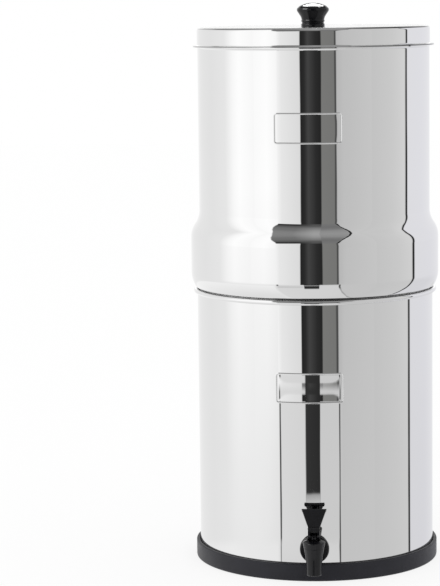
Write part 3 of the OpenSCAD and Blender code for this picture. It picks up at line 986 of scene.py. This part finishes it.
def stemRows(end, high):
    # a threaded stem's side, from its chamfered end up to the head
    s = sizes(elementSizes)
    radius, edge, gap = s.stemRadius, s.stemEdge, s.threadGap
    low, high = end + gap, high - gap
    count = int((high - low) / s.threadStep)
    rows = [(radius, high - (high - low) * i / count) for i in range(count + 1)]
    return [(radius - edge, end), (radius, end + edge)] + rows[::-1]


def sealPart():
    s = sizes(sealSizes)
    return ringPart(s.inner, s.outer, s.z, s.z + s.thickness, s.edges)


def taken(mesh):
    # a mesh as a part again
    part = [tuple(v.co / mm) for v in mesh.verts], [[v.index for v in f.verts] for f in mesh.faces]
    mesh.free()
    return part


def wingNutParts():
    s = sizes(nutSizes)
    low = s.top - s.height
    hub = ringPart(s.bore, s.hub, low, s.top, s.edges, 64)
    r = s.height * 0.8
    cx, cz = s.span / 2 - r, s.top - r
    start = 180 + math.degrees(math.asin((cz - low) / r))
    wing = ([(s.wingRoot, low), (cx + r * math.cos(math.radians(start)), low)]
            + arc((cx, cz), r, start, 450, 26)[1:] + [(s.wingRoot, s.top)])
    plates = [joined([slab([(side * x, z) for x, z in wing], s.thickness)]) for side in (1, -1)]
    return [hub] + [taken(bevelled(plate, s.wingEdge)) for plate in plates]


def makeElement(side):
    s = sizes(elementSizes)
    spot = shift(elementSides[side] * s.spot)

    def piece(name, node, look, parts):
        moved = [placed(part, spot) for part in parts]
        makePiece(name + "." + side, moved, "upper", node + "_" + side, look)

    top = s.bottom + s.length
    outline = rounded([(s.bore, s.bottom, 0), (s.radius, s.bottom, 0), (s.radius, top, s.edge),
                       (0, top, 0)], 12, False)
    outline += [(0, top - s.endThickness), (s.bore, top - s.endThickness)]
    piece("carbonElement", "carbon_element", "carbon", [revolved(outline, 128, True)])

    z, bore, stem, radius = s.capZ, s.stemBore, s.stemRadius, s.capRadius
    rim, floor = z + s.capHeight, z + s.capFloor
    inner = s.radius + s.capGap
    end = z - s.stemLength
    thread = threaded(stem, end + 0.8, z - s.threadGap)

    def cap(r, angle, height):
        if abs(r - radius) < 0.01 and z + s.gripEdge < height < rim - s.gripEdge:
            return r - s.gripDepth * max(0, math.cos(s.grips * angle)) ** 2
        return thread(r, angle, height)

    foot, outer, lip = s.capEdges
    outside = rounded([(stem, z, 0), (radius, z, foot), (radius, rim, outer), (inner, rim, lip),
                       (inner, floor, 0), (bore, floor, 0)], 5, False)
    path = clean([(bore, end)] + stemRows(end, z) + outside)
    piece("elementBase", "element_base", "capPlastic", [revolved(path, 240, True, cap)])
    piece("elementSeal", "element_seal", "sealRubber", [sealPart()])
    piece("elementWingNut", "element_wing_nut", "blackPlastic", wingNutParts())


def makePlugs():
    s = sizes(plugSizes)
    far = elementSizes["spot"]
    radius, gap = elementSizes["stemRadius"], elementSizes["threadGap"]
    end, top = s.z - s.length, s.z + s.headHeight
    foot, side, rim = s.headEdges
    head = rounded([(radius, s.z, 0), (s.head, s.z, foot), (s.head, top - s.headDrop, side),
                    (s.head - s.headSlope, top, rim), (0, top, 0)], 6, False)
    plug = revolved(clean([(0, end)] + stemRows(end, s.z) + head), 96, False,
                    threaded(radius, end + 0.8, s.z - gap))
    for name, node, look, parts in (("holePlugs", "hole_plugs", "blackPlastic", [plug]),
                                    ("plugSeals", "plug_seals", "sealRubber", [sealPart()]),
                                    ("plugWingNuts", "plug_wing_nuts", "blackPlastic", wingNutParts())):
        both = [placed(part, shift(y=y)) for y in (far, -far) for part in parts]
        makePiece(name, both, "upper", node, look)


for side in elementSides:
    makeElement(side)
makePlugs()
print("elements and plugs made")


# tap

tapSizes = {
    "y": -135.0,
    "inlet": 29.2,
    "spoutEnd": 12.1,
    "spout": 6.75,
    "spoutEdge": 0.45,
    "spoutCurve": [(0, 0.5), (0.1, 5)],
    "waist": 7.15,
    "waistZ": 25.0,
    "waistCurve": [(-0.2, -4), (0, 0), (0.4, 4)],
    "top": 8.85,
    "topCurve": [(-0.65, -3.6), (-0.05, -0.3), (0, 0)],
    "bonnetFoot": 36.4,
    "bodyTop": 41.4,
    "thread": 8.0,
    "valve": 5.6,
    "bore": 4.0,
    "neck": 7.0,
    "flange": 12.75,
    "flangeThickness": 2.0,
    "flangeEdges": (0.3, 0.8, 1.6),
    "face": 110.5,
    "shank": 8.0,
    "shankEdge": 0.6,
    "shankEnd": 85.2,
    "skin": 0.22,
}
fixingSizes = {
    "bore": 0.05,
    "washer": 0.3,
    "washerEdges": (0, 0, 0.4, 0.2),
    "inner": 12.0,
    "innerEdges": (0.2, 0.3, 0, 0),
    "wall": (107.18, 108.02),
    "meet": 107.0,
    "nut": 12.0,
    "nutThickness": 6.0,
    "nutFace": 104.68,
    "nutEdge": 0.95,
    "nutSlope": 0.9,
    "nutRows": 0.25,
}
bonnetSizes = {
    "foot": 8.9,
    "widest": 9.95,
    "height": 7.0,
    "topRadius": 6.2,
    "roof": 2.0,
    "hole": 2.25,
    "gap": 0.05,
}


def makeTapBody():
    s = sizes(tapSizes)
    stand, inlet = shift(0, s.y), alongInlet(s.inlet)
    end, foot, top, far = s.spoutEnd, s.bonnetFoot, s.bodyTop, -s.y
    funnel = flowing(near(s.spout, end, s.spoutCurve) + near(s.waist, s.waistZ, s.waistCurve)
                     + near(s.top, foot, s.topCurve), 6)
    outline = ([(0, end), (s.spout - s.spoutEdge, end)] + funnel
               + [(s.thread, foot), (s.thread, top), (0, top)])
    shank, edge, face = s.shank, s.shankEdge, s.face
    front = face + s.flangeThickness
    back, rim, root = s.flangeEdges
    flange = rounded([(shank, face, 0), (s.flange, face, back), (s.flange, front, rim),
                      (s.neck, front, root), (s.neck, far, 0)], 6, False)
    tube = ([(0, s.shankEnd), (shank - edge, s.shankEnd), (shank, s.shankEnd + edge), (shank, face)]
            + flange[1:] + [(0, far)])
    body = meshObject("tapBody", joined([placed(revolved(clean(outline), 96), stand),
                                         placed(revolved(clean(tube), 96), inlet)]))
    melt(body, s.skin, 6)
    for radius, low, high, place in ((s.valve, s.waistZ, 50, stand), (s.bore, 5, s.inlet, stand),
                                     (s.bore, 80, far, inlet)):
        cutAway(body, placed(rod(radius, low, high, 64), place))
    finished(body, "root", "tap_body", "blackPlastic")


def makeBonnet():
    s, t = sizes(bonnetSizes), sizes(tapSizes)
    foot, top, inner = t.bonnetFoot, t.bonnetFoot + s.height, t.thread + s.gap
    outline = rounded([(inner, foot, 0.1), (s.foot, foot, 0.15), (s.widest - 0.05, top - 2.5, 0.5),
                       (s.widest, top - 1.7, 0.5), (s.topRadius, top, 0.9), (s.hole, top, 0.2),
                       (s.hole, top - s.roof, 0), (inner, top - s.roof, 0)], 8)
    makePiece("tapBonnet", [placed(revolved(outline, 128, True), shift(0, t.y))], "root", "tap_bonnet",
              "blackPlastic")


def makeTapFixings():
    s, t = sizes(fixingSizes), sizes(tapSizes)
    inlet = alongInlet(t.inlet)
    bore, face, radius = t.shank + s.bore, s.nutFace, s.nut

    def washer(name, node, ring, wall, toWall):
        # its side towards the chamber's wall follows the wall
        points, faces = placed(ring, inlet)
        points = [(x, -math.sqrt(wall ** 2 - x * x) if toWall(y) else y, z) for x, y, z in points]
        makePiece(name, [(points, faces)], "root", node, "sealRubber")

    (inside, outside), meet = s.wall, s.meet
    ring = ringPart(bore, t.flange + s.washer, meet, t.face, s.washerEdges)
    washer("tapOuterWasher", "tap_outer_washer", ring, outside, lambda y: y > -meet - 0.6)
    ring = ringPart(bore, s.inner, face, meet, s.innerEdges)
    washer("tapInnerWasher", "tap_inner_washer", ring, inside, lambda y: y < -meet + 0.4)
    low = face - s.nutThickness

    def hexagon(r, angle, z):
        if r < radius * 0.9:
            return r
        side = (math.degrees(angle) + 30) % 60 - 30
        flat = radius / math.cos(math.radians(side))
        return min(flat, r + s.nutSlope * min(z - low, face - z) + 0.5)

    edge, step = radius * s.nutEdge, s.nutRows
    outline = ([(bore, low), (edge, low)] + [(radius + 0.4, low + step * i) for i in range(1, 24)]
               + [(edge, face), (bore, face)])
    nut = meshObject("tapNut", joined([placed(revolved(outline, 144, True, hexagon), inlet)]))
    finished(nut, "root", "tap_nut", "blackPlastic", 25)


makeTapBody()
makeBonnet()
makeTapFixings()
print("tap body made")


# lever with its stem, pin and seat cup

leverSizes = {
    "pinZ": 46.2,
    "cam": 5.6,
    "camShift": 3.0,
    "foot": 10.7,
    "top": 22.3,
    "length": 26.2,
    "thickness": 2.4,
    "flareZ": 8.0,
    "bow": 0.35,
    "lean": 33.5,
    "neck": 4.6,
    "slot": 6.3,
    "slotRadius": 3.9,
    "slotFront": 6.2,
    "slotCorner": 2.45,
    "slotReach": 34.0,
    "ribWidth": 6.0,
    "ribDrop": 1.5,
    "barDepth": 3.0,
    "barHeight": 2.2,
    "topBend": 1.3,
    "pin": 1.0,
    "skin": 0.18,
}
valveSizes = {
    "stem": 2.2,
    "eye": 3.8,
    "flat": 0.2,
    "barb": 3.0,
    "barbZ": 2.0,
    "gap": 0.05,
    "cupWaist": 1.4,
    "cup": 8.5,
}


def flare(z):
    # how far the paddle has widened at a distance from the pin, and its half width there
    s = sizes(leverSizes)
    halfFoot = s.foot / 2 - 0.3
    share = max(0, (z - s.flareZ) / (s.length - s.flareZ))
    return share, halfFoot + (s.top / 2 - halfFoot) * share


def barPart():
    # a bar across the paddle's end, as wide as the paddle
    s = sizes(leverSizes)
    low, high = s.length - s.barHeight, s.length - 0.05
    wide = [(flare(low)[1], low), (flare(high)[1], high)]
    outline = [(-x, z) for x, z in wide] + [(x, z) for x, z in wide[::-1]]
    return placed(slab(outline, s.barDepth), shift(0, s.barDepth / 2))


def paddlePart():
    s = sizes(leverSizes)
    thick = s.thickness / 2
    sections = []
    for i in range(37):
        z = s.camShift + (s.length - s.camShift) * i / 36
        share, half = flare(z)
        turned = max(0, z - s.length + s.topBend)
        across = [half * (k / 8 - 1) for k in range(17)]
        front = [(x, -thick + s.bow * share * (1 - (x / half) ** 2) + turned, z) for x in across]
        sections.append(front + [(-x, thick, z) for x in across])
    return loft(sections)


def boxPart(half, y0, y1, z0, z1):
    outline = [(-half, z0), (half, z0), (half, z1), (-half, z1)]
    return placed(slab(outline, y1 - y0), shift(0, (y0 + y1) / 2))


def makeLever():
    s = sizes(leverSizes)
    place = shift(0, tapSizes["y"], s.pinZ)
    lean, sideways = turn(-s.lean, "X"), turn(90, "Y")
    half, neck, low = s.foot / 2, s.neck / 2, s.camShift
    parts = [placed(rod(s.cam, -half, half, 96), shift(0, 0, low) @ sideways)]
    parts += [placed(part, lean) for part in (
        boxPart(half, -neck, neck, low, s.flareZ), paddlePart(),
        boxPart(s.ribWidth / 2, 0, s.barDepth - 0.4, low, s.length - s.ribDrop), barPart())]
    lever = meshObject("tapLever", joined([placed(part, place) for part in parts]))
    melt(lever, s.skin, 5)
    slot, way, far = s.slot / 2, s.slotCorner, s.slotReach
    for part, spot in ((rod(s.slotRadius, -slot, slot, 64), place @ sideways),
                       (boxPart(slot, way - far, way, way - far, way), place),
                       (boxPart(slot, -far, -s.thickness / 2, 0, s.slotFront), place),
                       (rod(s.pin + 0.05, -9, 9, 48), place @ sideways)):
        cutAway(lever, placed(part, spot))
    finished(lever, "lever", "tap_lever", "blackPlastic", 35)


def makeValve():
    s, t, v = sizes(leverSizes), sizes(tapSizes), sizes(valveSizes)
    place = shift(0, t.y)
    reach = s.foot / 2 - v.gap
    pin = revolved(rounded([(0, -reach, 0), (s.pin, -reach, 0.2), (s.pin, reach, 0.2), (0, reach, 0)], 5,
                           False), 40)
    makePiece("leverPin", [placed(pin, shift(0, t.y, s.pinZ) @ turn(90, "Y"))], "valve", "lever_pin",
              "oiledSteel")

    seat, stem, wide = t.waistZ + v.gap, v.stem, v.barb
    barb = seat + v.barbZ
    flat = s.pinZ - s.cam - v.flat
    shaft = revolved(rounded([(0, barb, 0), (wide, barb, 0.3), (wide, barb + 2, 0.3), (stem, barb + 2, 0),
                              (stem, flat + 0.3, 0.3), (0, flat + 0.3, 0)], 4, False), 48)
    eye = [(-stem, flat - 0.2), (stem, flat - 0.2)] + arc((0, s.pinZ), stem, 0, 180, 24)
    eyePart = taken(bevelled(joined([placed(slab(eye, v.eye), turn(90, "Z"))]), 0.25))
    parts = [placed(part, place) for part in (shaft, eyePart)]
    makePiece("valveStem", parts, "valve", "valve_stem", "blackPlastic")

    r, waist, top = t.valve - 0.4, t.valve - 0.4 - v.cupWaist, seat + v.cup
    within, around = stem + 0.02, wide + 0.05
    cup = revolved(rounded([(0, seat, 0), (r, seat, 0.6), (r, seat + 2.2, 0.4), (waist, seat + 3.4, 0.8),
                            (waist, top - 2, 0.8), (r, top - 1.2, 0.3), (r, top, 0.3), (within, top, 0.2),
                            (within, barb + 2.05, 0), (around, barb + 2.02, 0), (around, barb - 0.02, 0),
                            (0, barb - 0.02, 0)], 5, False), 64)
    makePiece("seatCup", [placed(cup, place)], "valve", "seat_cup", "silicone")


makeLever()
makeValve()
print("lever and valve made")


# studio

cameraSizes = {
    "distance": 2152.8,
    "height": 520.3,
    "azimuth": 0.983,
    "pitch": 7.289,
    "yaw": 2.3265,
    "roll": -0.7,
    "lens": 144.58,
}


def makeCamera():
    s = sizes(cameraSizes)
    data = bpy.data.cameras.new("camera")
    data.lens = s.lens
    data.sensor_width = 36.0
    data.clip_start, data.clip_end = 0.1, 30.0
    camera = newThing("camera", data)
    around, yaw, pitch, roll = (math.radians(a) for a in (s.azimuth, s.yaw, s.pitch, s.roll))
    facing = around + yaw
    out = math.cos(pitch)
    ahead = Vector((-math.sin(facing) * out, math.cos(facing) * out, -math.sin(pitch)))
    level = Vector((math.cos(facing), math.sin(facing), 0))
    upright = level.cross(ahead)
    right = level * math.cos(roll) + upright * math.sin(roll)
    up = upright * math.cos(roll) - level * math.sin(roll)
    spot = Vector((math.sin(around) * s.distance, -math.cos(around) * s.distance, s.height)) * mm
    rotation = Matrix((right, up, -ahead)).transposed()
    camera.matrix_world = Matrix.Translation(spot) @ rotation.to_4x4()
    bpy.context.scene.camera = camera


makeCamera()

# what polished metal mirrors, by direction: degrees, brightness and maybe blueness,
# around to the right of the front, and for the ceilings from the front over the top to the back
ceilingBack = [(127, 0.35), (131, 0.05), (141, 0.05), (147, 0.75), (170, 0.95)]
skyStops = {
    "around": [(-180, 1.05), (-168, 0.98), (-150, 0.93), (-120, 0.92), (-97, 0.97), (-86, 1.15), (-78, 1.22),
               (-60, 1.16), (60, 0.67), (85, 0.72), (102.6, 0.79), (103.2, 0.015), (105.9, 0.015),
               (106.5, 0.89, 1.04), (135, 0.88, 1.05), (165, 0.89, 1.03), (180, 1.0)],
    "high": [(-60, 1.18), (-46, 1.22), (-36, 1.15), (-31, 0.98), (-20, 0.91), (-12.4, 0.87), (-11.9, 0.02),
             (-8, 0.03), (-4.5, 0.068), (-1, 0.05), (3, 0.03), (7.8, 0.022), (8.5, 0.23, 0.97),
             (21.0, 0.22, 0.97), (21.3, 0.08), (22.6, 0.08), (23.2, 0.58), (30, 0.63), (60, 0.69)],
    "low": [(-60, 0.97), (-46, 0.93), (-34.4, 0.89), (-34.05, 0.08), (-32.85, 0.08), (-32.4, 0.84),
            (-20, 0.82), (-9.2, 0.80), (-8.6, 0.04), (4.9, 0.03), (5.6, 0.72), (22, 0.72), (23.15, 0.70),
            (23.4, 0.07), (24.35, 0.07), (24.65, 0.66), (60, 0.67)],
    "aroundLow": [(-180, 1.05), (-165, 0.94), (-120, 0.93), (-97, 0.95), (-60, 0.97), (60, 0.66), (85, 0.69),
                  (103.0, 0.71), (103.6, 0.02), (105.9, 0.02), (106.5, 0.80, 1.04), (135, 0.79, 1.05),
                  (165, 0.84, 1.03), (180, 1.0)],
    "under": [(-180, 0.95), (-90, 1.02), (-60, 0.99), (-37, 0.97), (-34, 0.83), (-10, 0.80), (5, 0.79),
              (40, 0.76)],
    "ceiling": [(8, 0.08), (15, 0.09), (22, 0.105), (27, 0.115), (32, 0.18), (37, 0.25), (42, 0.29),
                (47, 0.345), (52, 0.375), (58, 0.405), (66, 0.42), (88, 0.35)] + ceilingBack,
    "ceilingSide": [(8, 0.02), (22, 0.02), (25, 0.085), (27, 0.10), (32, 0.14), (37, 0.18), (42, 0.195),
                    (47, 0.20), (52, 0.235), (58, 0.26), (66, 0.27), (88, 0.31)] + ceilingBack,
    "ceilingRight": [(8, 0.21), (22, 0.21), (32, 0.19), (41, 0.225), (51, 0.31), (63, 0.345),
                     (88, 0.42)] + ceilingBack,
}
# the ceiling's left and right edges as the direction's x, by the angle from the front over the top
ceilingEdges = {
    "left": [(10, -0.55), (18, -0.55), (29, -0.58), (40, -0.59), (51, -0.565), (61, -0.515), (71, -0.475),
             (80, -0.42), (88, -0.42), (105, -0.50), (137, -0.56), (148, -0.52), (158, -0.40), (166, -0.25)],
    "right": [(16, 0.355), (26, 0.37), (36, 0.40), (47, 0.43), (57, 0.437), (61, 0.43), (68, 0.414),
              (80, 0.38), (88, 0.42), (105, 0.50), (137, 0.56), (148, 0.52), (158, 0.40), (166, 0.25)],
}
skyLevels = {
    "gain": 1.25,
    "diffuse": 1.0,
    "front": 60.0,
    "dark": 0.03,
    "line": 0.1,
    "edge": 0.25,
    "crease": 0.7,
    "leftSideFade": (0.9, 0.16),
    "stripEnd": (0.77, -0.46),
    "behind": 1.24,
    "lineBend": 22.0,
    "lineLean": -0.036,
    "underLine": (0.4, 0.5),
}
# where things begin, as (degrees or x, softness)
skyEdges = {
    "fading": (-9.5, 9.5),
    "split": (-9.6, 0.2),
    "lean": (80.0, 20.0),
    "under": (-13.35, 0.2),
    "underSide": (0.377, 0.02),
    "underLine": (-24.0, 6.0),
    "edge": (-14.0, 0.3),
    "leftSide": (-37.0, 3.0),
    "leftSideTop": (-14.3, 0.6),
    "leftSideFade": (-31.0, 36.0),
    "gap": (-12.18, 0.06),
    "stripEnd": (-12.43, 0.5),
    "stripTail": (-25.0, 4.0),
    "behind": (167.0, 8.0),
    "behindLow": (4.5, 2.0),
    "ceilingSide": (0.16, 0.26),
    "ceilingRight": (8.2, 0.6),
    "ceiling": (0.0, 0.02),
}
# bands as (start, softness, end, softness)
skyBands = {
    "middle": (-35.0, 1.0, 27.0, 2.0),
    "underLine": (0.377, 0.01, 0.399, 0.01),
    "edge": (-34.2, 0.4, -32.9, 0.4),
    "crease": (-34.0, 1.0, -9.5, 1.0),
    "creaseHeight": (-21.5, 2.0, -14.5, 2.0),
    "strip": (-8.9, 0.5, 5.2, 0.5),
    "ceiling": (17.5, 2.0, 165.0, 4.0),
    "ceilingSeam": (-0.03, 0.01, 0.0, 0.01),
}


def makeWorld():
    world = bpy.data.worlds.new("studio")
    bpy.context.scene.world = world
    world.use_nodes = True
    tree = world.node_tree
    tree.nodes.clear()
    s, gain = skyLevels, skyLevels["gain"]
    place = newNode(tree, "ShaderNodeTexCoord").outputs["Generated"]
    x, y, z = newNode(tree, "ShaderNodeSeparateXYZ", {0: place}).outputs
    ahead, degree = product(y, -1.0), 180 / math.pi
    azimuth = product(maths("ARCTAN2", x, ahead), degree)
    elevation = product(maths("ARCSINE", z), degree)
    overhead = product(maths("ARCTAN2", z, ahead), degree)
    offFront = maths("ABSOLUTE", azimuth)

    def sky(value, name):
        return ramp(value, skyStops[name], high=gain)

    def over(value, name):
        return rising(value, *skyEdges[name])

    def within(value, name):
        return band(value, *skyBands[name])

    def drifting(value, name, scale=1.0):
        # from a first level by a change, over the edge of that name
        first, change = s[name]
        return maths("MULTIPLY_ADD", over(value, name), change / scale, first / scale)

    def painted(scene, name, *masks):
        return blend(product(*masks), scene, s[name] / gain)

    # the thin upright edge at the right leans over near its top
    lean = maths("POWER", maths("MAXIMUM", maths("SUBTRACT", elevation, s["lineBend"]), 0.0), 2.0)
    leaning = maths("MULTIPLY_ADD", product(lean, over(azimuth, "lean")), s["lineLean"], azimuth)
    fading = over(elevation, "fading")
    change = product(within(azimuth, "middle"), maths("SUBTRACT", over(elevation, "split"), fading))
    around = blend(fading, sky(leaning, "aroundLow"), sky(leaning, "around"))
    front = blend(maths("ADD", fading, change), sky(azimuth, "low"), sky(azimuth, "high"))
    scene = blend(maths("LESS_THAN", offFront, s["front"]), around, front)

    # below the foot's view: paler, with the dark strip's end
    under = notIn(over(elevation, "under"))
    scene = blend(product(under, notIn(over(x, "underSide"))), scene, sky(azimuth, "under"))
    beside = maths("LESS_THAN", azimuth, 90.0)
    scene = painted(scene, "line", within(x, "underLine"), under, beside, drifting(elevation, "underLine"))
    scene = painted(scene, "edge", within(azimuth, "edge"), under, over(elevation, "edge"))
    leftSide = product(notIn(over(elevation, "leftSideTop")), notIn(over(azimuth, "leftSide")))
    scene = blend(leftSide, scene, drifting(elevation, "leftSideFade", gain))
    scene = painted(scene, "crease", within(azimuth, "crease"), within(elevation, "creaseHeight"))
    strip = within(azimuth, "strip")
    gap = product(notIn(over(elevation, "gap")), notIn(under))
    scene = blend(product(strip, gap), scene, drifting(elevation, "stripEnd"))
    scene = painted(scene, "dark", strip, under, over(elevation, "stripTail"))

    # white wall high behind, mirrored by the lid's top
    scene = painted(scene, "behind", over(offFront, "behind"), over(elevation, "behindLow"))

    # the dark ceiling between the side lights, from the front over the top to the back
    def bound(side):
        return maths("MULTIPLY_ADD", ramp(overhead, ceilingEdges[side], -1.0, 1.0), 2.0, -1.0)

    left, right = maths("SUBTRACT", x, bound("left")), maths("SUBTRACT", bound("right"), x)
    span = within(overhead, "ceiling")
    aside = over(maths("ABSOLUTE", maths("SUBTRACT", x, 0.03)), "ceilingSide")
    ceiling = blend(aside, sky(overhead, "ceiling"), sky(overhead, "ceilingSide"))
    ceiling = blend(over(azimuth, "ceilingRight"), ceiling, sky(overhead, "ceilingRight"))
    scene = blend(product(over(left, "ceiling"), over(right, "ceiling"), span), scene, ceiling)
    scene = painted(scene, "dark", within(right, "ceilingSeam"), span)

    def light(color, strength=1.0):
        return newNode(tree, "ShaderNodeBackground", {"Color": color, "Strength": strength}).outputs[0]

    def instead(share, shader, other):
        return newNode(tree, "ShaderNodeMixShader", {0: share, 1: shader, 2: other}).outputs[0]

    white, path = (1, 1, 1, 1), newNode(tree, "ShaderNodeLightPath").outputs
    surroundings = instead(path["Is Diffuse Ray"], light(scene, gain), light(white, s["diffuse"]))
    surroundings = instead(path["Is Camera Ray"], surroundings, light(white))
    newNode(tree, "ShaderNodeOutputWorld", {"Surface": surroundings})


# soft boxes that only the glossy plastic mirrors: degrees from the front and above the floor, metres, watts
lamps = {
    "back": {"around": 178.0, "up": 55.0, "away": 1.3, "size": (0.98, 0.8), "power": 100.0,
             "lights": ["lidKnob"]},
    "left": {"around": -62.0, "up": 30.0, "away": 1.3, "size": (0.8, 0.8), "power": 13.0,
             "lights": ["lidKnob", "tapBody", "tapBonnet", "tapLever"]},
}
floorSizes = {
    "half": 6.0,
    "glow": 0.8,
}


def makeLamps():
    center = Vector((0, 0, (lidSizes["top"] + knobSizes["headZ"]) * mm))
    for name, lamp in lamps.items():
        data = bpy.data.lights.new(name + "Lamp", "AREA")
        data.shape = "RECTANGLE"
        data.size, data.size_y = lamp["size"]
        data.energy = lamp["power"]
        thing = newThing(name + "Lamp", data)
        around, up = math.radians(lamp["around"]), math.radians(lamp["up"])
        way = Vector((math.sin(around) * math.cos(up), -math.cos(around) * math.cos(up), math.sin(up)))
        thing.location = center + way * lamp["away"]
        thing.rotation_euler = way.to_track_quat("Z", "Y").to_euler()
        thing.visible_diffuse = False
        thing.visible_camera = False
        receivers = bpy.data.collections.new(name + "Receivers")
        for piece in lamp["lights"]:
            receivers.objects.link(bpy.data.objects[piece])
        thing.light_linking.receiver_collection = receivers


def makeFloor():
    mesh = bmesh.new()
    bmesh.ops.create_grid(mesh, x_segments=1, y_segments=1, size=floorSizes["half"])
    floor = meshObject("floor", mesh)
    material = bpy.data.materials.new("floorWhite")
    material.use_nodes = True
    tree = material.node_tree
    shader = feed(tree.nodes["Principled BSDF"], {"Base Color": (1, 1, 1, 1), "Roughness": 1.0,
                                                  "Specular IOR Level": 0.0})
    glow = newNode(tree, "ShaderNodeEmission")
    share = product(newNode(tree, "ShaderNodeLightPath").outputs["Is Camera Ray"], floorSizes["glow"])
    mix = newNode(tree, "ShaderNodeMixShader", {0: share, 1: shader.outputs[0], 2: glow.outputs[0]})
    feed(tree.nodes["Material Output"], {"Surface": mix.outputs[0]})
    floor.data.materials.append(material)
    floor.visible_glossy = False


makeWorld()
makeLamps()
makeFloor()
bpy.context.scene.view_settings.view_transform = "Standard"
print("studio made")
